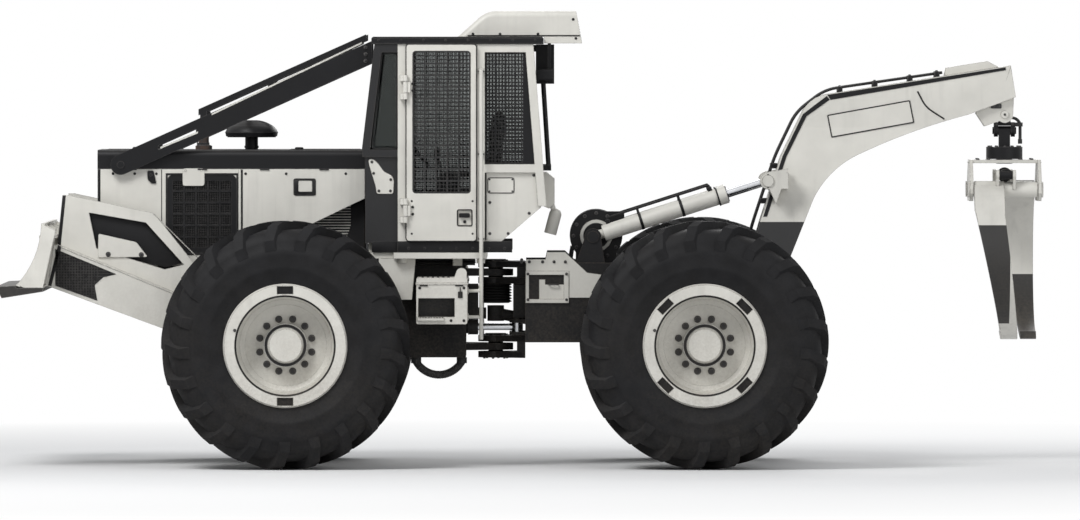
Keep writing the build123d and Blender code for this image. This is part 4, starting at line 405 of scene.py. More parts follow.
# ------------------------------------------------------------------ rims
# Steel rims in the machine's pale paint: an outer ring with hand slots whose floors are painted
# black as shade, a ring of black wheel nuts and a planetary hub with a plain cap. Paint is
# rubbed to primer along the edges.
edge_effect, takes, gives = effect_group(
    "rubbed_edges", [("Width", NUMBER, 0.006), ("Amount", NUMBER, 0.8)], [("Mask", NUMBER)]
)
spot = shader_node(edge_effect, "TexCoord").outputs["Object"]
true_normal = shader_node(edge_effect, "NewGeometry").outputs["Normal"]
softened = shader_node(edge_effect, "Bevel", {"Radius": takes["Width"]}, samples=4)
normals = {0: true_normal, 1: softened.outputs["Normal"]}
alike = shader_node(edge_effect, "VectorMath", normals, operation="DOT_PRODUCT")
edge = remapped(edge_effect, alike.outputs["Value"], 0.985, 0.88)
chips = remapped(edge_effect, noise(edge_effect, spot, 30.0, 6.0, 0.75), 0.36, 0.52)
worn = joined(edge_effect, "MULTIPLY", edge, chips)
feed(gives, {"Mask": joined(edge_effect, "MULTIPLY", worn, takes["Amount"], use_clamp=True)})

# Rain streaks: stains drawn out downwards, a little darker than the paint they run over.
streak_effect, takes, gives = effect_group(
    "rain_streaks", [("Colour", COLOUR, MID_GREY), ("Amount", NUMBER, 0.3)], [("Colour", COLOUR)]
)
spot = shader_node(streak_effect, "TexCoord").outputs["Object"]
drawn = shader_node(streak_effect, "Mapping", {"Vector": spot, "Scale": (16.0, 16.0, 0.9)})
runs = remapped(streak_effect, noise(streak_effect, drawn.outputs["Vector"], 1.0, 5.0), 0.52, 0.74)
clouds = remapped(streak_effect, noise(streak_effect, spot, 1.7, 4.0, 0.6), 0.35, 0.75)
stain = joined(streak_effect, "MULTIPLY", runs, clouds)
stain = joined(streak_effect, "MULTIPLY", stain, takes["Amount"], use_clamp=True)
darker = scaled(streak_effect, takes["Colour"], 0.55)
feed(gives, {"Colour": mixed(streak_effect, stain, takes["Colour"], darker)})

# A box in space with soft faces, on both sides of the machine, for paint of a second colour;
# several materials use it to paint shade.
zone_effect, takes, gives = effect_group(
    "paint_zone",
    [
        ("Centre", PLACE, (0.0, 0.0, 0.0)),
        ("Half Size", PLACE, (1.0, 1.0, 1.0)),
        ("Softness", NUMBER, 0.002),
    ],
    [("Mask", NUMBER)],
)
spot = shader_node(zone_effect, "TexCoord").outputs["Object"]
axes = shader_node(zone_effect, "SeparateXYZ", {0: spot}).outputs
mirrored = shader_node(zone_effect, "Math", {0: axes["Y"]}, operation="ABSOLUTE").outputs["Value"]
axes = {0: axes["X"], 1: mirrored, 2: axes["Z"]}
past = shader_node(zone_effect, "CombineXYZ", axes).outputs["Vector"]
for how, inputs in (
    ("SUBTRACT", {1: takes["Centre"]}),
    ("ABSOLUTE", {}),
    ("SUBTRACT", {1: takes["Half Size"]}),
):
    past = shader_node(zone_effect, "VectorMath", {0: past, **inputs}, operation=how)
    past = past.outputs["Vector"]
past = shader_node(zone_effect, "SeparateXYZ", {0: past}).outputs
deepest = joined(zone_effect, "MAXIMUM", past["X"], past["Y"])
deepest = joined(zone_effect, "MAXIMUM", deepest, past["Z"])
feed(gives, {"Mask": remapped(zone_effect, deepest, takes["Softness"], 0.0)})

PALE = (0.66, 0.645, 0.595)
PALE_PRIMER = (0.085, 0.078, 0.070)
BLACK = (0.009, 0.009, 0.010)
BLACK_PRIMER = (0.11, 0.105, 0.10)
TONES = (0.93, 1.05)


def painted_steel(name, colour, primer, gloss, wear, soil, streaks, zones=(), shine=0.45):
    """Machine paint over steel, with streaks, soil and edges rubbed to the primer. Each zone is
    (lowest corner, highest corner, colour): a box painted another colour, in some materials as
    painted shade."""
    material, tree, shader = new_material(name)
    grain = grain_of(tree, 320.0, 4.5, 0.35)
    base = toned(tree, grain, colour, *TONES)
    for low, high, other in zones:
        low, high = Vector(low), Vector(high)
        box = {"Centre": (low + high) / 2, "Half Size": (high - low) / 2}
        mask = use_effect(tree, zone_effect, box)["Mask"]
        base = mixed(tree, mask, base, toned(tree, grain, other, *TONES))
    stained = use_effect(tree, streak_effect, {"Colour": base, "Amount": streaks})["Colour"]
    edge = use_effect(tree, edge_effect, {"Width": 0.008, "Amount": wear})["Mask"]
    chipped = mixed(tree, edge, stained, primer + (1.0,))
    dust = use_effect(tree, dust_effect, {"Colour": chipped, "Amount": soil, "Reach": 1.75})
    dull = joined(tree, "MAXIMUM", dust["Mask"], edge)
    looks = {
        "Base Color": dust["Colour"],
        "Roughness": remapped(tree, dull, 0.0, 1.0, gloss, 0.85),
        "Normal": bumped(tree, grain["Height"], 0.10, 0.0015),
        "Specular IOR Level": shine,
    }
    feed(shader, looks)
    return material


pale_paint = painted_steel("pale_paint", PALE, PALE_PRIMER, 0.42, 0.8, 0.42, 0.35)
black_paint = painted_steel("black_paint", BLACK, BLACK_PRIMER, 0.45, 0.5, 0.14, 0.1, shine=0.2)
nut_steel = painted_steel(
    "nut_steel", (0.024, 0.024, 0.026), (0.16, 0.15, 0.14), 0.4, 0.7, 0.2, 0.0, shine=0.3
)


def paint_node(material, *names):
    """Gives carried-over CAD nodes their finish."""
    for name in names:
        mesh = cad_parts[name].data
        mesh.materials.clear()
        mesh.materials.append(material)


def bevel_edges(bm, edges, offset):
    """Rounds edges over, and returns the corners this makes."""
    made = bmesh.ops.bevel(
        bm, geom=edges, offset=offset, segments=2, profile=0.5, affect="EDGES", material=-1
    )
    return made["verts"]


def add_drum(bm, sides, radius, depth, matrix, taper=1.0):
    """A closed prism or drum about its own Z, with its far end narrowed by taper."""
    made = bmesh.ops.create_cone(
        bm,
        cap_ends=True,
        segments=sides,
        radius1=radius,
        radius2=radius * taper,
        depth=depth,
        matrix=matrix,
    )
    return made["verts"]


HEX_CORNER = 0.577


def add_bolt(bm, place, axis, flat, tall, washer):
    """A bevelled hexagon head on a washer, standing on a surface along axis."""
    turn = Vector(axis).to_track_quat("Z", "Y").to_matrix().to_4x4()
    corner_r = flat * HEX_CORNER
    head = add_drum(bm, 6, corner_r, tall, Matrix.Translation((0, 0, tall * 0.6)))
    rim = [e for e in edges_of(head) if min(v.co.z for v in e.verts) > tall]
    rounds = bevel_edges(bm, rim, flat * 0.07)
    under = Matrix.Translation((0, 0, tall * 0.1))
    flange = add_drum(bm, 20, corner_r * washer, tall * 0.2, under, 0.96)
    verts = [v for v in {*head, *rounds, *flange} if v.is_valid]
    bmesh.ops.transform(bm, matrix=Matrix.Translation(place) @ turn, verts=verts)


# places a flat (a, b) pattern across an axis, some way along it
FLAT = {
    "X": lambda a, b, away: (away, a, b),
    "Y": lambda a, b, away: (a, away, b),
    "Z": lambda a, b, away: (a, b, away),
}


def add_bolt_ring(bm, centre, axis, count, radius, flat, tall, washer, first=0.0):
    """Bolts spaced evenly round an axis and facing along it, from an angle first."""
    across = FLAT["XYZ"[max(range(3), key=lambda k: abs(axis[k]))]]
    for k in range(count):
        turn = first + k * math.tau / count
        ring = Vector(across(radius * math.cos(turn), radius * math.sin(turn), 0.0))
        add_bolt(bm, Vector(centre) + ring, axis, flat, tall, washer)


NUT_RING_R = 0.197
DISC_FACE = 0.1145
HUB_STEP = 0.2105
RIM_FACE = 0.3705
SLOT_FLOOR = 0.3505
SLOT_R = 0.408
SLOT_SHADE_PAD = (0.056, 0.003, 0.116)
VALVE_TURN, VALVE_R = 0.3, 0.385
for (axle, side), hub in hubs.items():
    s = 1 if side == "left" else -1
    outward = Vector((0, s, 0))
    bm = bmesh.new()
    disc = hub + outward * DISC_FACE
    add_bolt_ring(bm, disc, outward, 12, NUT_RING_R, 0.037, 0.024, 1.25, math.tau / 24)
    finish_piece(f"{axle}_{side}_wheel_nuts", bm, nut_steel, f"{axle}_{side}_wheel", "cast_grey")
    # the black seal round the hub cap; the lock ring's lip, whose black also stands in for the
    # shade on the dish; and black pads in the hand slots, painted shade on their floors
    bm = bmesh.new()
    seal = [(0.0, 0.134), (0.005, 0.135), (0.005, 0.153), (0.0, 0.155)]
    add_spun(bm, [(s * (HUB_STEP + a), r) for a, r in seal], 48, hub)
    lip = [(0.3582, 0.3588), (0.3592, 0.3572), (0.3712, 0.3692), (0.3702, 0.3708)]
    add_spun(bm, [(s * a, r) for a, r in lip], 64, hub)
    slots, first = (2, math.tau / 4) if axle == "front" else (4, math.tau / 8)
    for k in range(slots):
        turn = first + k * math.tau / slots
        radial = Vector((math.cos(turn), 0.0, math.sin(turn)))
        middle = hub + radial * SLOT_R + outward * (SLOT_FLOOR + SLOT_SHADE_PAD[1] / 2)
        lies = Matrix.Translation(middle) @ Matrix.Rotation(-turn, 4, "Y")
        pad = bmesh.ops.create_cube(bm, size=1.0, matrix=lies @ Matrix.Diagonal((*SLOT_SHADE_PAD, 1.0)))
        bevel_edges(bm, edges_of(pad["verts"]), 0.001)
    seals = f"{axle}_{side}_rim_seals_and_shade"
    finish_piece(seals, bm, black_paint, f"{axle}_{side}_wheel", "black_paint", smooth=38)
    # tyre valve on the rim's outer ring, clear of the hand slots
    bm = bmesh.new()
    stem = [(0.0, 0.0), (0.0, 0.012), (0.006, 0.012), (0.008, 0.006), (0.015, 0.006), (0.015, 0.0)]
    radial = Vector((math.cos(VALVE_TURN), 0.0, math.sin(VALVE_TURN)))
    valve = hub + radial * VALVE_R + outward * RIM_FACE
    add_spun(bm, [(s * a, r) for a, r in stem], 16, valve)
    finish_piece(f"{axle}_{side}_tyre_valve", bm, nut_steel, f"{axle}_{side}_wheel", "cast_grey")
    paint_node(pale_paint, f"{axle}_{side}_rim")

# ------------------------------------------------------------------ axles and drive
# Cast axle housings, gearbox and shafts, painted dark and coated with oily soil. Each
# differential has a ring of cover bolts on both faces, seated on a low collar.
cast_iron = painted_steel(
    "cast_iron", (0.024, 0.024, 0.025), (0.12, 0.10, 0.08), 0.7, 0.35, 0.4, 0.0, shine=0.25
)
paint_node(cast_iron, "front_axle", "rear_axle", "powertrain")
COVER_FACE, COVER_BOLT_R = 0.596, 0.104
for axle in ("front", "rear"):
    hub = (hubs[axle, "left"] + hubs[axle, "right"]) / 2
    bm = bmesh.new()
    for s in (-1, 1):
        face = hub + Vector((0, s * COVER_FACE, 0))
        add_bolt_ring(bm, face, (0, s, 0), 14, COVER_BOLT_R, 0.022, 0.012, 1.3)
        collar = [(0.575, 0.120), (0.575, 0.1315), (0.595, 0.1315), (0.595, 0.120)]
        add_spun(bm, [(s * a, r) for a, r in collar], 48, hub)
    finish_piece(f"{axle}_axle_bolts", bm, nut_steel, f"{axle}_frame", "cast_grey")

# ------------------------------------------------------------------ frames
# Two welded box frames of heavy plate in black paint, joined by the upright steering hinge; the
# black is partly painted shade low under the machine. Pale side plates close the rear frame, each
# with a small bolted door.
FRAME_PRIMER = (0.10, 0.085, 0.07)
rear_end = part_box("rear_chassis")[1].x
frame_paint = painted_steel("frame_paint", BLACK, FRAME_PRIMER, 0.6, 0.6, 0.28, 0.1, shine=0.2)
# the rear frame is pale above and black below; the lower black is painted shade
side_zone = ((-0.86, 0.4338, 1.150), (rear_end + 0.05, 0.60, 1.620), PALE)
rear_frame_paint = painted_steel(
    "rear_frame_paint", BLACK, FRAME_PRIMER, 0.5, 0.6, 0.28, 0.2, [side_zone], 0.22
)
paint_node(frame_paint, "front_chassis", "heat_shields")
paint_node(rear_frame_paint, "rear_chassis")


MOST_CUT = 0.45


def corner(before, here, after, reach, steps):
    """One corner of a line, rounded over the given reach."""
    before, here, after = Vector(before), Vector(here), Vector(after)
    cut = min(reach, (before - here).length * MOST_CUT, (after - here).length * MOST_CUT)
    start = here + (before - here).normalized() * cut
    end = here + (after - here).normalized() * cut
    shares = [n / steps for n in range(steps + 1)]
    return [start * (1 - t) ** 2 + here * 2 * t * (1 - t) + end * t**2 for t in shares]


def bent(points, reach, steps=5):
    """An open line with its inner corners rounded, for a pipe or a hose."""
    made = [Vector(points[0])]
    for before, here, after in zip(points, points[1:], points[2:]):
        made += corner(before, here, after, reach, steps)
    return made + [Vector(points[-1])]


def add_tube(bm, points, radius, closed=False, fine=2):
    """A round bar or pipe along a line of points: a bevelled curve that is made a mesh."""
    curve = bpy.data.curves.new("run", "CURVE")
    curve.dimensions = "3D"
    curve.bevel_depth = radius
    curve.bevel_resolution = fine
    curve.use_fill_caps = not closed
    line = curve.splines.new("POLY")
    line.points.add(len(points) - 1)
    for point, place in zip(line.points, points):
        point.co = (*place, 1.0)
    line.use_cyclic_u = closed
    holder = bpy.data.objects.new("run", curve)
    mesh = bpy.data.meshes.new_from_object(holder)
    for face in mesh.polygons:
        face.use_smooth = True
    bm.from_mesh(mesh)
    bpy.data.objects.remove(holder)
    bpy.data.curves.remove(curve)
    bpy.data.meshes.remove(mesh)


def add_side_bolts(bm, s, y, places, flat, tall, washer):
    """Bolts that face out from the left (1) or right (-1) side, at (x, z) places."""
    for x, z in places:
        add_bolt(bm, (x, s * y, z), (0, s, 0), flat, tall, washer)


SIDE_FACE, DOOR_FACE = 0.4405, 0.4465
UPPER_ROW = [(x, 1.508) for x in (-0.322, -0.239, -0.154, -0.056, 0.002)]
DOOR_CORNERS = [(-0.331, 1.228), (-0.331, 1.418), (-0.046, 1.228), (-0.046, 1.418)]
for side, s in SIDES:
    bm = bmesh.new()
    add_side_bolts(bm, s, SIDE_FACE, UPPER_ROW, 0.016, 0.009, 1.3)
    add_side_bolts(bm, s, DOOR_FACE, DOOR_CORNERS, 0.015, 0.008, 1.3)
    handle = [(-0.268, 0.437), (-0.268, 0.462), (-0.202, 0.462), (-0.202, 0.437)]
    add_tube(bm, bent([(x, s * y, 1.34) for x, y in handle], 0.012), 0.0055)
    finish_piece(f"{side}_rear_side_bolts", bm, nut_steel, "rear_frame", "chassis_paint")

# hinge pins of the steering joint, with their greased caps
hinge_x = (hubs["front", "left"].x + hubs["rear", "left"].x) / 2
bm = bmesh.new()
for z, up in ((0.9585, 1), (1.5085, 1), (0.7915, -1), (1.3415, -1)):
    add_bolt_ring(bm, (hinge_x, 0.0, z), (0, 0, up), 6, 0.088, 0.017, 0.008, 1.3, 0.3)
finish_piece("steering_hinge_bolts", bm, nut_steel, "rear_frame", "chassis_paint")


def plain_finish(name, colour, tones, scales, roughness, bump=None, **others):
    """A plain material: one colour varied by its grain, one roughness and maybe a fine bump."""
    material, tree, shader = new_material(name)
    grain = grain_of(tree, *scales)
    feed(shader, {"Base Color": toned(tree, grain, colour, *tones), "Roughness": roughness})
    if bump:
        feed(shader, {"Normal": bumped(tree, grain["Height"], *bump)})
    feed(shader, {label.replace("_", " "): value for label, value in others.items()})
    return material


# a ribbed rubber boot under the upper fork, round the hoses that pass through the hinge
boot_rubber = plain_finish(
    "boot_rubber", (0.011, 0.011, 0.011), (0.7, 1.4), (300.0, 18.0), 0.75, (0.3, 0.001),
    Specular_IOR_Level=0.2,
)
BOOT_LOW, BOOT_HIGH, BOOT_R, BOOT_FOLDS, FOLD_DEEP = 1.196, 1.3415, 0.118, 7, 0.016
bm = bmesh.new()
rise = (BOOT_HIGH - BOOT_LOW) / BOOT_FOLDS
fold_r = BOOT_R - FOLD_DEEP
line = [(BOOT_LOW, 0.0), (BOOT_LOW, fold_r)]
for k in range(BOOT_FOLDS):
    z = BOOT_LOW + rise * k
    line += [(z + rise * 0.2, fold_r), (z + rise * 0.45, BOOT_R), (z + rise * 0.75, BOOT_R)]
line += [(BOOT_HIGH, fold_r), (BOOT_HIGH, 0.0)]
add_spun(bm, line, 48, (hinge_x, 0.0, 0.0), "Z")
finish_piece("steering_hinge_boot", bm, boot_rubber, "rear_frame", "black_paint", smooth=70)

# ------------------------------------------------------------------ hydraulic cylinders
# Painted steel barrels with screwed glands and ports, and polished chrome rods that a film of
# oil keeps bright. A steel pipe, clipped to each barrel, feeds the rod end.
chrome, tree, shader = new_material("chrome_rod")
grain = grain_of(tree, 500.0, 14.0)
shine = remapped(tree, grain["Height"], 0.0, 1.0, 0.10, 0.28)
silver = toned(tree, grain, (0.62, 0.63, 0.65), 0.9, 1.05)
feed(shader, {"Base Color": silver, "Roughness": shine, "Metallic": 1.0})
paint_node(pale_paint, "boom_barrels")
paint_node(black_paint, "blade_barrels", "grapple_barrel")
paint_node(chrome, "boom_rods", "blade_rods", "grapple_rod")
for side, s in SIDES:
    paint_node(black_paint, f"{side}_steering_barrel")
    paint_node(chrome, f"{side}_steering_rod")


def add_rod(bm, start, end, radius, sides=6):
    """A straight wire or pin between two points."""
    start, end = Vector(start), Vector(end)
    along = end - start
    turn = along.to_track_quat("Z", "Y").to_matrix().to_4x4()
    add_drum(bm, sides, radius, along.length, Matrix.Translation((start + end) / 2) @ turn)


def dress_barrel(bm, base, toward, length, tube_r, gland_r, up, pipe_r=0.009, screws=8):
    """Gland ring and screws, two ports and the clipped pipe of one cylinder barrel."""
    base, toward = Vector(base), Vector(toward)
    along = (toward - base).normalized()
    up = (Vector(up) - along * Vector(up).dot(along)).normalized()
    side = along.cross(up)
    grid = Matrix((side, along, up)).transposed().to_4x4()

    def set_ring(line, where):
        made = add_spun(bm, line, 40, (0, 0, 0))
        bmesh.ops.transform(bm, matrix=Matrix.Translation(where) @ grid, verts=made)

    face = base + along * length
    for k in range(screws):
        turn = k * math.tau / screws
        ring = (side * math.cos(turn) + up * math.sin(turn)) * (tube_r * 0.86)
        add_bolt(bm, face + ring, along, tube_r * 0.2, tube_r * 0.10, 1.15)
    lip_r = gland_r + 0.001
    set_ring([(-0.074, tube_r), (-0.074, lip_r), (-0.070, lip_r + 0.002), (-0.062, lip_r)], face)
    ports = (base + along * (tube_r * 2.3), face - along * 0.11)
    away = gland_r + 0.022
    turn = up.to_track_quat("Z", "Y").to_matrix().to_4x4()
    for port in ports:
        block = bmesh.ops.create_cube(bm, size=1.0)["verts"]
        bmesh.ops.scale(bm, vec=(pipe_r * 3.6, pipe_r * 3.6, away - tube_r * 0.9), verts=block)
        rounds = bevel_edges(bm, edges_of(block), pipe_r * 0.4)
        where = port + up * (away + tube_r * 0.9) / 2
        block = [v for v in {*block, *rounds} if v.is_valid]
        bmesh.ops.transform(bm, matrix=Matrix.Translation(where) @ turn, verts=block)
    line = [ports[0] + up * away, ports[0] + up * (away + pipe_r * 1.4)]
    line += [ports[1] + up * (away + pipe_r * 1.4), ports[1] + up * away]
    add_tube(bm, bent(line, pipe_r * 3), pipe_r, fine=3)
    for share in (0.3, 0.7):
        clip = ports[0] + (ports[1] - ports[0]) * share
        half, strap_r = pipe_r * 1.2, tube_r + 0.003
        set_ring([(-half, tube_r), (-half, strap_r), (half, strap_r), (half, tube_r)], clip)
        add_rod(bm, clip + up * tube_r * 0.95, clip + up * (away + pipe_r * 0.6), pipe_r * 0.9, 12)


for name, y, (x0, z0), (x1, z1), length, tube_r, gland_r, up in (
    ("boom", 0.330, (-0.527, 1.692), (-1.822, 2.106), 1.040, 0.060, 0.068, (0, 0, 1)),
    ("blade", 0.466, (2.344, 1.400), (3.047, 1.388), 0.584, 0.048, 0.056, (0, 0, -1)),
):
    bm = bmesh.new()
    for s in (-1, 1):
        dress_barrel(bm, (x0, s * y, z0), (x1, s * y, z1), length, tube_r, gland_r, up)
    fittings, barrels = f"{name}_barrel_fittings", f"{name}_barrels"
    finish_piece(fittings, bm, black_paint, barrels, "black_paint", smooth=32)
for side, s in SIDES:
    bm = bmesh.new()
    base, toward = (0.794, s * 0.205, 1.020), (0.034, s * 0.220, 1.020)
    dress_barrel(bm, base, toward, 0.470, 0.046, 0.053, (0, 0, -1), 0.008, 0)
    fittings, barrel = f"{side}_steering_barrel_fittings", f"{side}_steering_barrel"
    finish_piece(fittings, bm, black_paint, barrel, "black_paint", smooth=32)

# ------------------------------------------------------------------ hood
# Folded sheet panels over the engine: a black top band, pale side doors with latches and a
# woven black screen over a dark frame, and a barred grille with the radiator's fins behind it.
hood_low, hood_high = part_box("hood_sides")
roof_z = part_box("hood_top")[1].z
paint_node(black_paint, "hood_top", "front_grille", "side_screens")
paint_node(pale_paint, "hood_sides")
HOOD_FACE = 0.480
ENGINE_SCREEN = (2.107, 1.573, 2.618, 2.151)
HOOK = [(2.699, 2.087), (2.735, 2.087), (2.766, 2.120), (2.766, 2.183), (2.720, 2.183)]
PANEL_BOLTS = ((2.93, 1.56), (3.05, 1.56), (3.05, 1.86), (2.72, 1.56), (1.74, 1.68))


def rounded(points, reach, steps=4):
    """A closed line whose corners are rounded over the given reach."""
    made = []
    for k, here in enumerate(points):
        made += corner(points[k - 1], here, points[(k + 1) % len(points)], reach, steps)
    return made


def box_line(low_a, low_b, high_a, high_b, reach=0.0):
    """A rectangle as a closed outline, with rounded corners if asked."""
    line = [(low_a, low_b), (high_a, low_b), (high_a, high_b), (low_a, high_b)]
    return rounded(line, reach) if reach else line


def add_plate(bm, outline, across, low, high, soften=0.003):
    """A plate: a closed outline in two axes, thick along the axis across, with soft edges."""
    flat = FLAT[across]
    verts = [bm.verts.new(flat(a, b, low)) for a, b in outline]
    face = bm.faces.new(verts)
    raised = bmesh.ops.extrude_face_region(bm, geom=[face], use_keep_orig=True)["geom"]
    tops = [v for v in raised if isinstance(v, bmesh.types.BMVert)]
    bmesh.ops.translate(bm, vec=flat(0.0, 0.0, high - low), verts=tops)
    bmesh.ops.recalc_face_normals(bm, faces=faces_of(verts + tops))
    if soften:
        bevel_edges(bm, edges_of(verts + tops), soften)


def add_side_plate(bm, outline, s, inner, outer, soften):
    """A plate on the left (1) or right (-1) side, between two distances from the middle."""
    add_plate(bm, outline, "Y", *sorted((s * inner, s * outer)), soften)


def add_side_cord(bm, outline, y, radius):
    """A round cord laid along a closed (x, z) outline."""
    add_tube(bm, [(x, y, z) for x, z in outline], radius, True)


bm = bmesh.new()
x0, z0, x1, z1 = ENGINE_SCREEN
WIRE_PITCH, WIRE_R, WIRE_END = 0.0175, 0.0032, 0.006
for s in (-1, 1):
    for k in range(1, round((x1 - x0) / WIRE_PITCH)):
        x = x0 + k * WIRE_PITCH
        add_rod(bm, (x, s * 0.4725, z0 + WIRE_END), (x, s * 0.4725, z1 - WIRE_END), WIRE_R, 5)
    for k in range(1, round((z1 - z0) / WIRE_PITCH)):
        z = z0 + k * WIRE_PITCH
        add_rod(bm, (x0 + WIRE_END, s * 0.4695, z), (x1 - WIRE_END, s * 0.4695, z), WIRE_R, 5)
finish_piece("engine_screen_wires", bm, black_paint, "front_frame", "screen_black", smooth=80)

bm = bmesh.new()
proud = HOOD_FACE + 0.0003
for s in (-1, 1):
    # screen frame, seam strips, the flush pull's black surround, painted shade round its recess,
    # and the latch plate
    for line in (
        box_line(x0 - 0.013, z0 - 0.013, x1 + 0.013, z0 + 0.002, 0.004),
        box_line(x0 - 0.013, z1 - 0.002, x1 + 0.013, z1 + 0.013, 0.004),
        box_line(x0 - 0.013, z0, x0 + 0.002, z1, 0.004),
        box_line(x1 - 0.002, z0, x1 + 0.013, z1, 0.004),
    ):
        add_side_plate(bm, line, s, proud, HOOD_FACE + 0.005, 0.0015)
    for line in (
        box_line(x0 - 0.046, hood_low.z + 0.10, x0 - 0.018, hood_high.z - 0.004),
        box_line(x1 + 0.040, hood_low.z + 0.20, x1 + 0.046, hood_high.z - 0.004),
        box_line(hood_high.x - 0.022, hood_low.z + 0.06, hood_high.x - 0.002, hood_high.z - 0.002),
    ):
        add_side_plate(bm, line, s, proud, HOOD_FACE + 0.0015, 0.0)
    pull = box_line(1.524, 2.000, 1.684, 2.122, 0.014)
    add_side_plate(bm, pull, s, proud, HOOD_FACE + 0.003, 0.001)
    add_side_cord(bm, pull, s * (HOOD_FACE + 0.003), 0.003)
    # hook latch near the front, and the hinges along the top band
    add_side_plate(bm, rounded(HOOK, 0.012), s, proud, HOOD_FACE + 0.012, 0.003)
    add_side_bolts(bm, s, HOOD_FACE + 0.012, [(2.740, 2.150)], 0.016, 0.007, 1.3)
    y = s * (HOOD_FACE + 0.005)
    for x in (1.46, 1.90, 2.36, 2.88):
        add_tube(bm, [(x - 0.035, y, 2.192), (x + 0.035, y, 2.192)], 0.006)
    row = [(x, hood_high.z - 0.035) for x in (1.30, 1.74, 2.04, 2.70, 2.86, 3.02)]
    add_side_bolts(bm, s, HOOD_FACE, row, 0.013, 0.006, 1.4)
    add_side_bolts(bm, s, HOOD_FACE, PANEL_BOLTS, 0.015, 0.007, 1.4)
finish_piece("hood_fittings", bm, black_paint, "front_frame", "black_paint", smooth=40)

bm = bmesh.new()
LATCH_FACE = HOOD_FACE + 0.0058
for s in (-1, 1):
    plate = box_line(2.344, 2.070, 2.506, 2.200, 0.020)
    add_side_plate(bm, plate, s, HOOD_FACE, LATCH_FACE, 0.0015)
    add_side_bolts(bm, s, LATCH_FACE, ((2.366, 2.182), (2.484, 2.182)), 0.013, 0.004, 1.3)
    # the flap of the flush pull, inside its black surround of painted shade
    flap = box_line(1.548, 2.026, 1.650, 2.108, 0.010)
    add_side_plate(bm, flap, s, HOOD_FACE + 0.0025, LATCH_FACE, 0.0015)
finish_piece("hood_latch_plates", bm, pale_paint, "front_frame", "cream_paint")

# pressed slats on the upright shields between the hood and the cab
shield_low, shield_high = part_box("heat_shields")
bm = bmesh.new()
for s in (-1, 1):
    for k in range(22):
        z = shield_low.z + 0.075 + k * 0.0205
        start = shield_low.x + 0.10 + 0.007 * max(0, 12 - k)
        slat = box_line(start, z, shield_high.x - 0.006, z + 0.0085, 0.002)
        add_side_plate(bm, slat, s, shield_high.y - 0.001, shield_high.y + 0.006, 0.001)
finish_piece("shield_slats", bm, pale_paint, "front_frame", "cream_paint")

bm = bmesh.new()
fin_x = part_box("front_grille")[0].x - 0.035
for k in range(60):
    z = 1.525 + k * 0.0108
    add_plate(bm, box_line(-0.380, z, 0.380, z + 0.0035), "X", fin_x - 0.02, fin_x, 0.0)
for k in range(13):
    y = -0.36 + k * 0.06
    add_rod(bm, (fin_x - 0.012, y, 1.505), (fin_x - 0.012, y, 2.180), 0.006, 10)
for z0, z1 in ((1.494, 1.524), (2.164, 2.192)):
    add_plate(bm, box_line(-0.395, z0, 0.395, z1, 0.006), "X", fin_x - 0.045, fin_x + 0.004)
finish_piece("radiator_core", bm, black_paint, "front_frame", "black_paint")

# filler caps with their lugs, and folded ribs on the hood's top
bm = bmesh.new()
cap = [(-0.004, 0.0), (-0.004, 0.026), (0.006, 0.029)]
cap += [(0.016, 0.029), (0.019, 0.024), (0.019, 0.0)]
for x, y in ((1.648, 0.30), (2.86, -0.05)):
    add_spun(bm, cap, 28, (x, y, roof_z), "Z")
    for k in range(10):
        turn = k * math.tau / 10
        lug = Vector((x + 0.029 * math.cos(turn), y + 0.029 * math.sin(turn), roof_z + 0.002))
        add_rod(bm, lug, lug + Vector((0, 0, 0.013)), 0.003, 8)
for y in (-0.30, -0.06, 0.30):
    for start, end in ((1.20, 1.72), (2.52, 3.08)):
        add_tube(bm, [(start, y, roof_z - 0.003), (end, y, roof_z - 0.003)], 0.006)
finish_piece("hood_top_fittings", bm, black_paint, "front_frame", "black_paint", smooth=40)

# ------------------------------------------------------------------ stack and pre-cleaner
# A slant-cut exhaust pipe of heat-browned steel held by a band clamp, and a black
# mushroom-shaped air intake of moulded sheet, with a screened throat and a band round it.
burnt_steel, tree, shader = new_material("burnt_steel")
grain = grain_of(tree, 260.0, 11.0)
rust = remapped(tree, grain["Tone"], 0.40, 0.62)
looks = {
    "Base Color": mixed(tree, rust, (0.055, 0.052, 0.05, 1.0), (0.12, 0.065, 0.042, 1.0)),
    "Metallic": 0.6,
    "Roughness": remapped(tree, grain["Height"], 0.0, 1.0, 0.45, 0.8),
    "Normal": bumped(tree, grain["Height"], 0.3, 0.001),
}
feed(shader, looks)
paint_node(burnt_steel, "exhaust_stack")
paint_node(black_paint, "air_precleaner")

low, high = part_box("exhaust_stack")
stack = Vector(((low.x + high.x) / 2, (low.y + high.y) / 2, roof_z))
bm = bmesh.new()
band = [(0.034, 0.0385), (0.034, 0.0425), (0.052, 0.0425), (0.052, 0.0385)]
add_spun(bm, band, 40, stack, "Z")
for dz in (0.038, 0.048):
    add_bolt(bm, stack + Vector((0.046, 0.012, dz)), (0, -1, 0), 0.010, 0.006, 1.1)
add_rod(bm, stack + Vector((0.046, -0.02, 0.043)), stack + Vector((0.046, 0.02, 0.043)), 0.003, 8)
turns = [k * math.tau / 36 for k in range(36)]
ring = [stack + Vector((0.051 * math.cos(t), 0.051 * math.sin(t), 0.029)) for t in turns]
add_tube(bm, ring, 0.004, True)
flange = stack + Vector((0, 0, 0.0282))
add_bolt_ring(bm, flange, (0, 0, 1), 4, 0.050, 0.013, 0.007, 1.3, math.tau / 8)
finish_piece("exhaust_clamp", bm, nut_steel, "front_frame", "stack_steel")

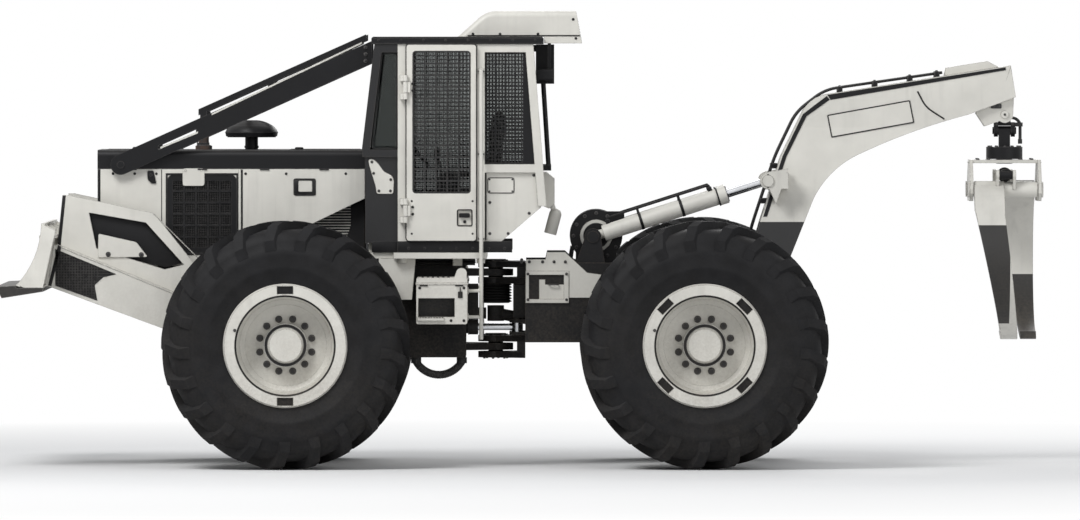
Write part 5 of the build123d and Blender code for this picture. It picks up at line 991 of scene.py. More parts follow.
low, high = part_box("air_precleaner")
dome = Vector(((low.x + high.x) / 2, (low.y + high.y) / 2, roof_z))
bm = bmesh.new()
for line in (
    [(0.1245, 0.1955), (0.1235, 0.1975), (0.1295, 0.1965), (0.1300, 0.1930)],
    [(0.010, 0.0485), (0.010, 0.0535), (0.026, 0.0535), (0.026, 0.0485)],
):
    add_spun(bm, line, 56, dome, "Z")
VANES, VANE_Z, VANE_SKEW = 28, 0.0925, 0.10
for k in range(VANES):
    turn = k * math.tau / VANES
    inner = Vector((0.070 * math.cos(turn), 0.070 * math.sin(turn), VANE_Z))
    turn += VANE_SKEW
    outer = Vector((0.180 * math.cos(turn), 0.180 * math.sin(turn), VANE_Z))
    add_rod(bm, dome + inner, dome + outer, 0.0035, 6)
finish_piece("precleaner_vanes", bm, black_paint, "front_frame", "black_paint", smooth=40)

# ------------------------------------------------------------------ limb risers
# Two black steel box bars that lift branches over the hood and cab, pinned to the hood and
# bolted to brackets on the roof's front edge.
paint_node(black_paint, "limb_risers", "rear_guard", "work_lights")
RISER_PIN = (2.962, 2.227)
RISER_TOP = (1.108, 3.058)
RIPPLE = 0.014


def add_bead(bm, start, end, radius):
    """A weld bead: a rippled round bead along a straight joint."""
    start, end = Vector(start), Vector(end)
    steps = max(1, round((end - start).length / RIPPLE))
    line = [start + (end - start) * (n / steps) for n in range(steps + 1)]
    for a, b in zip(line, line[1:]):
        along = (b - a).to_track_quat("Z", "Y").to_matrix().to_4x4()
        scale = Matrix.Diagonal((radius, radius * 0.9, (b - a).length * 0.62, 1.0))
        lies = Matrix.Translation((a + b) / 2) @ along @ scale
        bmesh.ops.create_uvsphere(bm, u_segments=6, v_segments=4, radius=1.0, matrix=lies)


bm = bmesh.new()
bracket = [(RISER_TOP[0] + 0.045, RISER_TOP[1] + dz - 0.02) for dz in (-0.045, 0.005, 0.055)]
for s in (-1, 1):
    add_side_bolts(bm, s, 0.5455, [RISER_PIN], 0.026, 0.004, 1.2)
    add_side_bolts(bm, s, 0.538, bracket, 0.020, 0.010, 1.3)
    for share in (0.335, 0.605, 0.905):
        x = RISER_PIN[0] + (RISER_TOP[0] - RISER_PIN[0]) * share
        z = RISER_PIN[1] + (RISER_TOP[1] - RISER_PIN[1]) * share
        add_bead(bm, (x - 0.025, s * 0.533, z + 0.088), (x + 0.025, s * 0.533, z + 0.066), 0.004)
finish_piece("limb_riser_bolts", bm, nut_steel, "front_frame", "black_paint", smooth=40)

# pale strips on the outer faces, under each riser's top bar and low on its foot: painted
# highlights along the bars
bm = bmesh.new()
for s in (-1, 1):
    for (x0, z0), (x1, z1) in (((2.290, 2.600), (1.180, 3.128)), ((2.670, 2.352), (2.390, 2.468))):
        strip = [(x0, z0 - 0.009), (x0, z0 + 0.006), (x1, z1 + 0.006), (x1, z1 - 0.009)]
        add_side_plate(bm, strip, s, 0.5372, 0.5405, 0.001)
finish_piece("limb_riser_painted_highlights", bm, pale_paint, "front_frame", "cream_paint")

# ------------------------------------------------------------------ cab
# A welded cab in the machine's pale paint, black round the windshield and along the roof's edge;
# the black front quarter is also painted shade for the gap between hood and cab. Its deck stands
# on the rails, with a black skirt between the deck and the doors, painted shade for the gap there.
A_POST_FRONT = 0.915
# black over the cab's front quarter, partly painted shade for the gap between hood and cab
black_front_and_shade = ((A_POST_FRONT, 0.0, 1.585), (1.30, 0.80, 3.20), BLACK)
cab_paint = painted_steel("cab_paint", PALE, PALE_PRIMER, 0.40, 0.7, 0.42, 0.35, [black_front_and_shade])
paint_node(cab_paint, "cab_frame", "cab_lower_body")
paint_node(pale_paint, "cab_deck", "roof_cooler", "grab_rails")
paint_node(black_paint, "cab_roof")

SHADE_SKIRT_LOW, SHADE_SKIRT_HIGH, SEAM_Y, DRIP_Y, DRIP_Z = 1.5815, 1.664, 0.6655, 0.7025, 3.1215
bm = bmesh.new()
for s in (-1, 1):
    # black skirt between the deck and the door, and the fold under the lower panels: painted shade
    # for the gap under the cab
    add_side_plate(bm, box_line(0.070, SHADE_SKIRT_LOW, 0.914, SHADE_SKIRT_HIGH), s, 0.6902, 0.6945, 0.0015)
    add_side_plate(bm, box_line(0.900, SHADE_SKIRT_LOW, 1.105, SHADE_SKIRT_HIGH), s, 0.650, 0.6635, 0.0015)
    row = [(0.125 + k * 0.118, 1.612) for k in range(7)]
    add_side_bolts(bm, s, 0.6945, row, 0.013, 0.006, 1.4)
    # seams beside the rear post and under the quarter window
    add_tube(bm, [(0.2655, s * SEAM_Y, 1.672), (0.2655, s * SEAM_Y, 2.224)], 0.0065)
    add_tube(bm, [(-0.128, s * SEAM_Y, 2.222), (0.2655, s * SEAM_Y, 2.222)], 0.0075)
    # roof edge: a drip rail and its screws
    add_tube(bm, [(-0.158, s * DRIP_Y, DRIP_Z), (1.102, s * DRIP_Y, DRIP_Z)], 0.0045)
    row = [(-0.10 + k * 0.165, 3.147) for k in range(8)]
    add_side_bolts(bm, s, 0.702, row, 0.013, 0.005, 1.4)
finish_piece("cab_shade_skirts_and_trim", bm, black_paint, "front_frame", "black_paint", smooth=40)

# the pale bolted quarter panel between the windshield post and the hood, and a blank rounded
# plate on the rear of each lower panel
QUARTER_PANEL = (
    (1.131, 2.269), (1.093, 2.269), (1.061, 2.240), (1.018, 2.179), (0.956, 2.146), (0.942, 2.112),
    (0.947, 2.013), (1.069, 2.013), (1.079, 2.075), (1.108, 2.170), (1.126, 2.231),
)
quarter_panel = rounded(QUARTER_PANEL, 0.016, 3)
blank_plate = box_line(0.057, 2.020, 0.249, 2.131, 0.018)
panel_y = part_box("cab_lower_body")[1].y
QUARTER_FACE, BLANK_FACE = panel_y + 0.008, panel_y + 0.0035
bm = bmesh.new()
for s in (-1, 1):
    add_side_plate(bm, quarter_panel, s, panel_y + 0.0005, QUARTER_FACE, 0.002)
    add_side_plate(bm, blank_plate, s, panel_y, BLANK_FACE, 0.001)
finish_piece("cab_quarter_panels", bm, pale_paint, "front_frame", "cream_paint")

bm = bmesh.new()
QUARTER_BOLTS = ((1.104, 2.248), (0.965, 2.118), (0.968, 2.035), (1.053, 2.035), (1.092, 2.165))
BLANK_BOLTS = ((0.069, 2.032), (0.237, 2.032), (0.237, 2.119), (0.069, 2.119))
SHEET_BOLTS = ((-0.09, 2.15), (-0.055, 1.87), (0.235, 1.72), (0.100, 1.72), (0.235, 1.95))
for s in (-1, 1):
    add_side_cord(bm, blank_plate, s * (panel_y + 0.0025), 0.0038)
    add_side_cord(bm, quarter_panel, s * (panel_y + 0.003), 0.0035)
    add_side_bolts(bm, s, QUARTER_FACE, QUARTER_BOLTS, 0.014, 0.006, 1.35)
    add_side_bolts(bm, s, BLANK_FACE, BLANK_BOLTS, 0.010, 0.004, 1.2)
    add_side_bolts(bm, s, panel_y, SHEET_BOLTS, 0.015, 0.007, 1.35)
finish_piece("cab_panel_bolts", bm, nut_steel, "front_frame", "black_paint", smooth=40)

# woven guards over the quarter windows, and the rubber gaskets behind them
window_rubber = plain_finish(
    "window_rubber", (0.010, 0.010, 0.010), (0.7, 1.3), (500.0, 12.0), 0.65
)


POST_X, POST_LEAN, POST_LOW, POST_HIGH = -0.157, 0.066, 2.232, 3.057


def rear_edge(z):
    """X of the rear post's rear face at a height."""
    return POST_X + (z - POST_LOW) / (POST_HIGH - POST_LOW) * POST_LEAN


# the screen's own bars stand this far apart, with two wires woven between each pair
GUARD_X, GUARD_X_PITCH, GUARD_X_BARS = -0.0227, 0.0721, 4
GUARD_Z, GUARD_Z_PITCH, GUARD_Z_BARS = 2.2383, 0.08124, 10
WOVEN_R = 0.0042
bm = bmesh.new()
for s in (-1, 1):
    for share in (1 / 3, 2 / 3):
        for k in range(GUARD_Z_BARS):
            z = GUARD_Z + GUARD_Z_PITCH * (k + share)
            add_rod(bm, (rear_edge(z) + 0.075, s * 0.6655, z), (0.270, s * 0.6655, z), WOVEN_R, 6)
        for k in range(GUARD_X_BARS):
            x = GUARD_X + GUARD_X_PITCH * (k + share)
            add_rod(bm, (x, s * 0.6685, 2.236), (x, s * 0.6685, 3.053), WOVEN_R, 6)
finish_piece("quarter_window_guards", bm, black_paint, "front_frame", "screen_black", smooth=80)

bm = bmesh.new()
rear_pane = [
    (rear_edge(2.24) + 0.066, 2.240),
    (0.268, 2.240),
    (0.268, 3.050),
    (rear_edge(3.05) + 0.066, 3.050),
]
front_pane = [(0.921, 2.348), (1.108, 2.348), (1.030, 3.050), (0.921, 3.050)]
for s in (-1, 1):
    for line in (rear_pane, front_pane):
        add_side_cord(bm, rounded(line, 0.022), s * 0.6545, 0.0055)
finish_piece("quarter_window_gaskets", bm, window_rubber, "front_frame", "black_paint")

# clear glass with a faint smear; the narrow panes beside the windshield are darker as painted
# shade
window_glass, tree, shader = new_material("window_glass")
grain = grain_of(tree, 90.0, 2.5)
pane_box = {"Centre": (1.02, 0.65, 2.70), "Half Size": (0.115, 0.03, 0.40)}
shaded_pane = use_effect(tree, zone_effect, pane_box)["Mask"]
looks = {
    "Base Color": mixed(tree, shaded_pane, (0.46, 0.475, 0.47, 1.0), (0.20, 0.21, 0.205, 1.0)),
    "Roughness": remapped(tree, grain["Tone"], 0.35, 0.7, 0.03, 0.16),
    "Transmission Weight": 1.0,
    "IOR": 1.12,
}
feed(shader, looks)
paint_node(window_glass, "cab_glass", "left_door_glass", "right_door_glass")

# ------------------------------------------------------------------ cooler, lamps and guard
# The air-conditioning housing on the roof's back edge is a pale pressed shell with black
# vents behind. Work lamps with glass lenses hang below it, beside the rear guard's own lamps.
cool_low, cool_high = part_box("roof_cooler")
bm = bmesh.new()
COOLER_BOLTS = ((-0.40, 3.160), (-0.12, 3.192), (0.16, 3.192), (0.36, 3.192), (-0.38, 3.300))
for s in (-1, 1):
    face = cool_high.y + 0.0002
    add_side_bolts(bm, s, face, COOLER_BOLTS, 0.013, 0.006, 1.4)
    add_tube(bm, [(-0.430, s * face, 3.180), (0.400, s * face, 3.180)], 0.0055, fine=1)
    # vents in the rear face, each a black slot with a folded lip
    for k in range(7):
        z = 3.165 + k * 0.020
        x = cool_low.x + 0.002 + (z - 3.124) * 0.185
        add_tube(bm, [(x, s * 0.060, z), (x, s * 0.440, z)], 0.0045, fine=1)
finish_piece("cooler_louvres", bm, black_paint, "front_frame", "black_paint", smooth=40)

lens_glass, tree, shader = new_material("lens_glass")
grain = grain_of(tree, 60.0, 5.0)
spot = shader_node(tree, "TexCoord").outputs["Object"]
flutes = shader_node(tree, "TexWave", {"Vector": spot, "Scale": 42.0}, bands_direction="Y")
looks = {
    "Base Color": toned(tree, grain, (0.62, 0.63, 0.62), 0.9, 1.1),
    "Normal": bumped(tree, flutes.outputs["Fac"], 0.5, 0.002),
    "Roughness": 0.12,
    "Metallic": 0.35,
}
feed(shader, looks)

lamp_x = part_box("work_lights")[0].x
guard_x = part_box("rear_guard")[0].x
DOME_LINE = [(0.008, 0.045), (0.004, 0.040), (0.002, 0.022), (0.0015, 0.0)]
BEZEL_LINE = [(0.004, 0.046), (0.000, 0.049), (0.000, 0.054), (0.010, 0.056)]
bm = bmesh.new()
rim = bmesh.new()
for s in (-1, 1):
    corners = [(0.448, 2.858), (0.544, 2.858), (0.544, 2.924), (0.448, 2.924)]
    lens = rounded([(s * y, z) for y, z in corners], 0.014)
    add_plate(bm, lens, "X", lamp_x + 0.0005, lamp_x + 0.006, 0.002)
    add_tube(rim, [(lamp_x + 0.005, y, z) for y, z in lens], 0.0045, True)
    for y in (0.19, 0.31):
        add_spun(bm, DOME_LINE, 28, (guard_x, s * y, 2.905), "X")
        add_spun(rim, BEZEL_LINE, 36, (guard_x, s * y, 2.905), "X")
finish_piece("lamp_lenses", bm, lens_glass, "front_frame", "cab_glass", smooth=40)
finish_piece("lamp_bezels", rim, black_paint, "front_frame", "black_paint", smooth=40)

# ------------------------------------------------------------------ doors
# Each door is a pale framed panel with a deep window behind welded mesh, a rubber gasket, a
# lever latch in a pressed pocket, and two bolted hinges.
DOOR_FRONT, DOOR_SKIN, SCREEN_BAR = 0.849, 0.728, 0.012
UPRIGHT_Y, LEVEL_Y = 0.7145, 0.7175
SCREEN_COLUMNS, SCREEN_ROWS = 5, 12
HINGE_BOLTS = [(0.803, z + dz) for z in (1.890, 2.800) for dz in (0.026, -0.026)]
POCKET_SCREWS = [(x, z) for z in (1.72, 1.96) for x in (0.362, 0.81)]
for side, s in SIDES:
    glass_low, glass_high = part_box(f"{side}_door_glass")
    x0, z0, x1, z1 = glass_low.x, glass_low.z, glass_high.x, glass_high.z
    mesh_zone = ((x0 - 0.0005, 0.711, z0 - 0.0005), (x1 + 0.0005, 0.721, z1 + 0.0005), BLACK)
    door_paint = painted_steel(
        f"{side}_door_paint", PALE, PALE_PRIMER, 0.40, 0.8, 0.42, 0.35, [mesh_zone]
    )
    paint_node(door_paint, f"{side}_door")
    # two wires woven between each pair of the door screen's own bars
    bm = bmesh.new()
    step_x = (x1 - x0 - SCREEN_BAR) / SCREEN_COLUMNS / 3
    step_z = (z1 - z0 - SCREEN_BAR) / SCREEN_ROWS / 3
    for k in range(3 * SCREEN_COLUMNS):
        if k % 3:
            x = x0 + SCREEN_BAR / 2 + k * step_x
            y = s * UPRIGHT_Y
            add_rod(bm, (x, y, z0 - 0.002), (x, y, z1 + 0.002), WOVEN_R, 6)
    for k in range(3 * SCREEN_ROWS):
        if k % 3:
            z = z0 + SCREEN_BAR / 2 + k * step_z
            y = s * LEVEL_Y
            add_rod(bm, (x0 - 0.002, y, z), (x1 + 0.002, y, z), WOVEN_R, 6)
    finish_piece(f"{side}_door_mesh", bm, black_paint, f"{side}_door", "screen_black", smooth=80)

    bm = bmesh.new()
    gasket = box_line(x0 + 0.003, z0 + 0.003, x1 - 0.003, z1 - 0.003, 0.028)
    add_side_cord(bm, gasket, s * 0.7035, 0.006)
    # the bulb seal stands out round the door's edge
    low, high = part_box(f"{side}_door")
    add_side_cord(bm, box_line(low.x, low.z, DOOR_FRONT, high.z, 0.022), s * 0.7005, 0.0080)
    finish_piece(f"{side}_door_rubber", bm, window_rubber, f"{side}_door", "black_paint")

    bm = bmesh.new()
    # lever latch: a bar across the pocket with its pivot, a key lock, and a raised surround
    add_side_cord(bm, box_line(0.366, 1.778, 0.474, 1.896, 0.012), s * DOOR_SKIN, 0.0045)
    add_side_plate(bm, box_line(0.382, 1.838, 0.462, 1.872, 0.008), s, 0.7235, 0.7345, 0.003)
    lock = [(s * 0.7135, 0.012), (s * 0.7255, 0.012), (s * 0.7265, 0.010), (s * 0.7265, 0.0)]
    add_spun(bm, lock, 20, (0.420, 0.0, 1.808))
    add_side_bolts(bm, s, DOOR_SKIN + 0.0005, HINGE_BOLTS, 0.014, 0.007, 1.3)
    add_side_bolts(bm, s, DOOR_SKIN, POCKET_SCREWS, 0.010, 0.004, 1.4)
    finish_piece(f"{side}_door_latch", bm, black_paint, f"{side}_door", "black_paint", smooth=40)

# ------------------------------------------------------------------ inside the cab
# A moulded plastic dash with dials, pedals and levers, and a seat on a steel pedestal with two
# cushions of stitched vinyl, swollen by the foam that fills them.
cab_plastic = plain_finish(
    "cab_plastic", (0.035, 0.035, 0.036), (0.8, 1.2), (420.0, 8.0, 0.15), 0.6, (0.25, 0.0008)
)
paint_node(cab_plastic, "seat_frame", "control_console")

floor_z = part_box("seat_frame")[0].z
bm = bmesh.new()
# a hooded row of dials on the slope of the dash, each with its bezel
DIAL = [(-0.002, 0.040), (0.006, 0.042), (0.010, 0.038), (0.006, 0.034), (0.003, 0.0)]
tilt = Matrix.Rotation(math.radians(-53), 4, "Y")
for y in (-0.18, -0.06, 0.06, 0.18):
    made = add_spun(bm, DIAL, 28, (0, 0, 0), "Z")
    bmesh.ops.transform(bm, matrix=Matrix.Translation((0.958, y, 2.268)) @ tilt, verts=made)
for y, x in ((-0.20, 0.82), (-0.06, 0.82), (0.18, 0.83)):
    pedal = box_line(y - 0.035, floor_z + 0.05, y + 0.035, floor_z + 0.155, 0.01)
    add_plate(bm, pedal, "X", x - 0.022, x - 0.012, 0.002)
    add_rod(bm, (x - 0.012, y, floor_z + 0.06), (x + 0.075, y, floor_z + 0.06), 0.008, 10)
    for n in range(5):
        z = floor_z + 0.064 + n * 0.019
        add_rod(bm, (x - 0.024, y - 0.028, z), (x - 0.024, y + 0.028, z), 0.003, 8)
# the two joystick levers on posts either side of the seat
KNOB = [(0.0, 0.008), (0.006, 0.020), (0.035, 0.024), (0.070, 0.018), (0.082, 0.0)]
STICK = ((0.035, 0, 0.46), (0.045, 0, 0.56), (0.075, 0, 0.62))
for s in (-1, 1):
    foot = Vector((0.560, s * 0.285, floor_z))
    post = box_line(foot.x - 0.09, foot.y - 0.045, foot.x + 0.07, foot.y + 0.045, 0.02)
    add_plate(bm, post, "Z", floor_z + 0.0005, floor_z + 0.47, 0.006)
    rest = box_line(foot.x - 0.24, foot.y - 0.040, foot.x + 0.02, foot.y + 0.040, 0.025)
    add_plate(bm, rest, "Z", floor_z + 0.475, floor_z + 0.510, 0.012)
    add_tube(bm, bent([foot + Vector(place) for place in STICK], 0.03), 0.007)
    add_spun(bm, KNOB, 20, foot + Vector((0.070, 0, 0.600)), "Z")
finish_piece("cab_controls", bm, cab_plastic, "front_frame", "dash_plastic", smooth=38)

seat_vinyl = plain_finish(
    "seat_vinyl", (0.032, 0.031, 0.030), (0.75, 1.25), (260.0, 14.0, 0.3), 0.5, (0.4, 0.0012)
)
cushion_low, cushion_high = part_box("seat_cushions")
SWELL_CAP, FILLING_STEPS = 0.024, 20
FILLING = {
    "quality": 5,
    "mass": 0.3,
    "tension_stiffness": 15.0,
    "compression_stiffness": 15.0,
    "bending_stiffness": 2.0,
    "use_pressure": True,
    "uniform_pressure_force": 4.0,
}


def swollen(name, outline, half_wide):
    """A cushion: a softened block remeshed, then blown up as cloth about its filling."""
    bm = bmesh.new()
    add_plate(bm, outline, "Y", -half_wide, half_wide, 0.020)
    piece = finish_piece(name, bm, seat_vinyl, "front_frame", "seat_vinyl")
    remesh = piece.modifiers.new("even", "REMESH")
    remesh.mode = "VOXEL"
    remesh.voxel_size = 0.0055
    bpy.context.view_layer.update()
    graph = bpy.context.evaluated_depsgraph_get()
    even = bpy.data.meshes.new_from_object(piece.evaluated_get(graph))
    piece.modifiers.clear()
    piece.data = even
    if not even.materials:
        even.materials.append(seat_vinyl)
    start = [v.co.copy() for v in even.vertices]
    cloth = piece.modifiers.new("filling", "CLOTH")
    for setting, value in FILLING.items():
        setattr(cloth.settings, setting, value)
    cloth.settings.effector_weights.gravity = 0.0
    for step in range(1, FILLING_STEPS + 1):
        bpy.context.scene.frame_set(step)
    graph = bpy.context.evaluated_depsgraph_get()
    blown = [v.co.copy() for v in piece.evaluated_get(graph).data.vertices]
    piece.modifiers.clear()
    bpy.context.scene.frame_set(1)
    for vertex, before, after in zip(even.vertices, start, blown):
        moved = after - before
        if moved.length > SWELL_CAP:
            moved *= SWELL_CAP / moved.length
        vertex.co = before + moved
    for face in even.polygons:
        face.use_smooth = True
    smooth = piece.modifiers.new("smooth", "SUBSURF")
    smooth.levels = 1
    smooth.render_levels = 1
    return piece


pan_z = cushion_low.z
base_line = [
    (cushion_low.x + 0.088, pan_z + 0.014),
    (cushion_high.x - 0.022, pan_z + 0.014),
    (cushion_high.x - 0.030, pan_z + 0.085),
    (cushion_low.x + 0.088, pan_z + 0.085),
]
back_line = [(0.198, 2.076), (0.252, 2.076), (0.196, 2.618), (0.132, 2.618)]
base_cushion = swollen("seat_base_cushion", base_line, 0.216)
back_cushion = swollen("seat_back_cushion", back_line, 0.206)


def sew_channels(piece, places, depth=0.006, wide=0.009):
    """Presses sewn channels into a cushion's skin, each a narrow groove at one place across."""
    for vertex in piece.data.vertices:
        for place in places:
            away = (vertex.co.y - place) / wide
            if abs(away) < 3.0:
                vertex.co -= vertex.normal * depth * math.exp(-away * away)


def add_piping(name, piece, across, stitches=90):
    """A vinyl cord sewn round a cushion where it is widest, square to one axis."""
    co = [v.co.copy() for v in piece.data.vertices]
    low = Vector([min(p[k] for p in co) for k in range(3)])
    high = Vector([max(p[k] for p in co) for k in range(3)])
    middle = (low + high) / 2
    first, second = [k for k in range(3) if k != across]
    ring = []
    for k in range(stitches):
        turn = k * math.tau / stitches
        pull = Vector((0.0, 0.0, 0.0))
        pull[first], pull[second] = math.cos(turn), math.sin(turn)
        ring.append(max(co, key=lambda p: (p - middle).dot(pull)))
    sewn = [(ring[k - 1] + ring[k] * 2 + ring[(k + 1) % stitches]) / 4 for k in range(stitches)]
    bm = bmesh.new()
    add_tube(bm, sewn, 0.0038, True)
    finish_piece(name, bm, seat_vinyl, "front_frame", "seat_vinyl")


sew_channels(base_cushion, (-0.085, 0.085))
sew_channels(back_cushion, (-0.080, 0.080))
add_piping("seat_base_piping", base_cushion, 2)
add_piping("seat_back_piping", back_cushion, 0)
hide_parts("seat_cushions")

# ------------------------------------------------------------------ steps and rails
# Pale boxes with a foot pocket in the outer face, painted black inside as shade, a chequered
# tread, hinged lids with small black latches, and painted tube rails bolted up the cab's rear
# posts.
x0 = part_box("step_boxes")[0].x + 0.005
pocket_shade_zone = ((x0 + 0.0945, 0.780, 1.1125), (x0 + 0.3605, 0.9835, 1.2485), BLACK)
step_paint = painted_steel("step_paint", PALE, PALE_PRIMER, 0.42, 0.8, 0.5, 0.35, [pocket_shade_zone])
paint_node(step_paint, "step_boxes")
STEP_FACE, RAIL_X, RAIL_FOOT_Y = 0.985, 0.298, 0.698
BOX_BOLTS = ((x0 + 0.025, 1.085), (x0 + 0.025, 1.325), (x0 + 0.35, 1.325), (x0 + 0.12, 1.085))
RAIL_BOLTS = [(RAIL_X + dx, z) for z in (1.682, 2.307, 2.917) for dx in (-0.017, 0.017)]
for side, s in SIDES:
    bm = bmesh.new()
    # the lid's rubber latch and its hinges
    x, z = x0 + 0.052, 1.275
    plate = box_line(x - 0.017, z - 0.024, x + 0.017, z + 0.024, 0.006)
    add_side_plate(bm, plate, s, STEP_FACE, STEP_FACE + 0.008, 0.002)
    y = s * (STEP_FACE + 0.012)
    add_tube(bm, [(x, y, z - 0.02), (x, y, z + 0.055)], 0.004)
    add_side_bolts(bm, s, STEP_FACE + 0.008, [(x, z - 0.012)], 0.012, 0.005, 1.2)
    y = s * (STEP_FACE + 0.004)
    for x in (x0 + 0.06, x0 + 0.32):
        add_tube(bm, [(x - 0.03, y, 1.343), (x + 0.03, y, 1.343)], 0.0055)
    add_side_bolts(bm, s, STEP_FACE, BOX_BOLTS, 0.014, 0.007, 1.35)
    # grip studs of the tread bar and on the top of the box
    for k in range(9):
        x = x0 + 0.182 + k * 0.0205
        add_rod(bm, (x, s * 0.9975, 1.1035), (x, s * 0.9975, 1.1095), 0.006, 10)
    for row in range(3):
        y = s * (0.83 + row * 0.045)
        for k in range(6):
            x = x0 + 0.14 + k * 0.038
            add_rod(bm, (x - 0.009, y, 1.4035), (x + 0.009, y, 1.4035), 0.0045, 6)
    finish_piece(f"{side}_step_fittings", bm, black_paint, "front_frame", "black_paint", smooth=40)

    bm = bmesh.new()
    add_side_bolts(bm, s, RAIL_FOOT_Y, RAIL_BOLTS, 0.010, 0.006, 1.2)
    finish_piece(f"{side}_rail_bolts", bm, nut_steel, "front_frame", "cast_grey")

# three steel pipes clipped under the cab's deck, above each step box
bm = bmesh.new()
for s in (-1, 1):
    for z in (1.497, 1.528, 1.559):
        add_tube(bm, [(0.345, s * 0.420, z), (1.020, s * 0.420, z)], 0.0145)
    for x in (0.46, 0.84):
        clamp = box_line(x - 0.018, 1.480, x + 0.018, 1.578, 0.008)
        add_side_plate(bm, clamp, s, 0.402, 0.438, 0.004)
        add_side_bolts(bm, s, 0.438, [(x, 1.5435)], 0.013, 0.007, 1.3)
finish_piece("deck_pipes", bm, black_paint, "front_frame", "black_paint", smooth=40)

# ------------------------------------------------------------------ hoses
# Reinforced rubber hoses, each held at both ends: the belly loop wears a wound spring guard
# between crimped end fittings, and two short ones bridge the grapple's swivel.
hose_rubber = plain_finish(
    "hose_rubber", (0.014, 0.014, 0.014), (0.7, 1.3), (300.0, 20.0), 0.7, (0.3, 0.001)
)
paint_node(hose_rubber, "belly_hose", "grapple_hoses")

hose_low, hose_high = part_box("belly_hose")
HOSE_R, FITTING_R, HOSE_Y, END_DROP = 0.028, 0.038, 0.335, 0.032
COILS, COIL_STEPS, COIL_SHARE = 30, 12, 0.80
ends = (hose_low.x + FITTING_R, hose_high.x - FITTING_R)
half_span = (ends[1] - ends[0]) / 2
sag = (hose_high.z - END_DROP) - (hose_low.z + HOSE_R)
bow_r = (half_span**2 + sag**2) / (2 * sag)
bow_centre = Vector(((ends[0] + ends[1]) / 2, HOSE_Y, hose_low.z + HOSE_R + bow_r))
reach = math.asin(half_span / bow_r) * COIL_SHARE
bm = bmesh.new()
points = []
for n in range(COILS * COIL_STEPS + 1):
    turn = -reach + 2 * reach * n / (COILS * COIL_STEPS)
    wind = n / COIL_STEPS * math.tau
    r = bow_r + (HOSE_R + 0.0005) * math.cos(wind)
    aside = (HOSE_R + 0.0005) * math.sin(wind)
    points.append(bow_centre + Vector((r * math.sin(turn), aside, -r * math.cos(turn))))
add_tube(bm, points, 0.0028, fine=0)
for x in ends:
    for drop in (0.038, 0.022):
        add_drum(bm, 6, 0.0405, 0.012, Matrix.Translation((x, HOSE_Y, hose_high.z - drop)))
finish_piece("belly_hose_guard", bm, nut_steel, "front_frame", "cast_grey", smooth=40)

# ------------------------------------------------------------------ blade
# A curved mouldboard of pale welded plate on two box arms, with a bolted cutting edge of
# bare hardened steel, greased pins, and a bolted cover behind the arm's window.
worn_steel = painted_steel(
    "worn_steel", (0.030, 0.029, 0.028), (0.30, 0.29, 0.28), 0.42, 1.0, 0.3, 0.0, shine=0.3
)
paint_node(pale_paint, "blade")
paint_node(worn_steel, "cutting_edge")
EDGE_SLOPE = Vector((0.62, 0.0, 0.78))
ARM_PIN = Vector((hubs["front", "left"].x + 0.356, 0.6435, 0.944))
bm = bmesh.new()
for k in range(15):
    add_bolt(bm, (3.640, -1.05 + k * 0.15, 1.3445), EDGE_SLOPE, 0.030, 0.010, 1.1)
for s in (-1, 1):
    pin = (ARM_PIN.x, s * ARM_PIN.y, ARM_PIN.z)
    add_bolt_ring(bm, pin, (0, s, 0), 6, 0.082, 0.018, 0.009, 1.3)
    add_side_bolts(bm, s, 0.612, ((3.051, 1.566), (2.807, 1.563)), 0.024, 0.012, 1.4)
finish_piece("blade_bolts", bm, nut_steel, "blade", "cast_grey", smooth=40)

bm = bmesh.new()
cover = rounded([(3.124, 1.719), (2.843, 1.656), (2.760, 1.547), (3.128, 1.542)], 0.015)
for s in (-1, 1):
    add_side_plate(bm, cover, s, 0.598, 0.612, 0.003)
finish_piece("blade_arm_covers", bm, pale_paint, "blade", "cream_paint")

# painted shade: behind each arm's window a black plate, and black strips along the guard's front
# edge and the arm's end; on each arm a black patch of welded grip mesh
WINDOW_SHADE_PLATE = [(3.206, 1.890), (3.150, 1.596), (2.634, 1.470), (2.500, 1.500), (2.770, 1.812)]
GUARD_EDGE_SHADE = [(3.430, 1.600), (3.389, 2.000), (3.364, 2.000), (3.405, 1.600)]
ARM_END_SHADE = [(3.420, 1.636), (3.394, 1.622), (3.470, 1.330), (3.494, 1.338)]
GRIP_PATCH = [
    (3.440, 1.606), (3.200, 1.508), (2.990, 1.420), (3.085, 1.398),
    (3.150, 1.340), (3.130, 1.225), (3.440, 1.335),
]


def crossing(outline, level, along):
    """Where a level line enters and leaves a closed outline, measured along one of its axes."""
    other = 1 - along
    hits = []
    for a, b in zip(outline, outline[1:] + outline[:1]):
        if (a[other] - level) * (b[other] - level) < 0:
            share = (level - a[other]) / (b[other] - a[other])
            hits.append(a[along] + (b[along] - a[along]) * share)
    return (min(hits), max(hits)) if hits else None


GRIP_PITCH, GRIP_R, GRIP_Y = 0.0205, 0.0022, 0.6580
bm = bmesh.new()
for s in (-1, 1):
    add_side_plate(bm, WINDOW_SHADE_PLATE, s, 0.552, 0.559, 0.001)
    add_side_plate(bm, GUARD_EDGE_SHADE, s, 0.5995, 0.6025, 0.001)
    add_side_plate(bm, ARM_END_SHADE, s, 0.6545, 0.6572, 0.001)
    add_side_plate(bm, GRIP_PATCH, s, 0.6552, 0.6572, 0.0)
    for k in range(18):
        z = 1.240 + k * GRIP_PITCH
        span = crossing(GRIP_PATCH, z, 0)
        if span:
            add_rod(bm, (span[0], s * GRIP_Y, z), (span[1], s * GRIP_Y, z), GRIP_R, 5)
    for k in range(15):
        x = 3.130 + k * GRIP_PITCH
        span = crossing(GRIP_PATCH, x, 1)
        y = s * (GRIP_Y + 0.0015)
        add_rod(bm, (x, y, span[0]), (x, y, span[1]), GRIP_R, 5)
finish_piece("blade_arm_screens_and_shade", bm, black_paint, "blade", "black_paint", smooth=80)

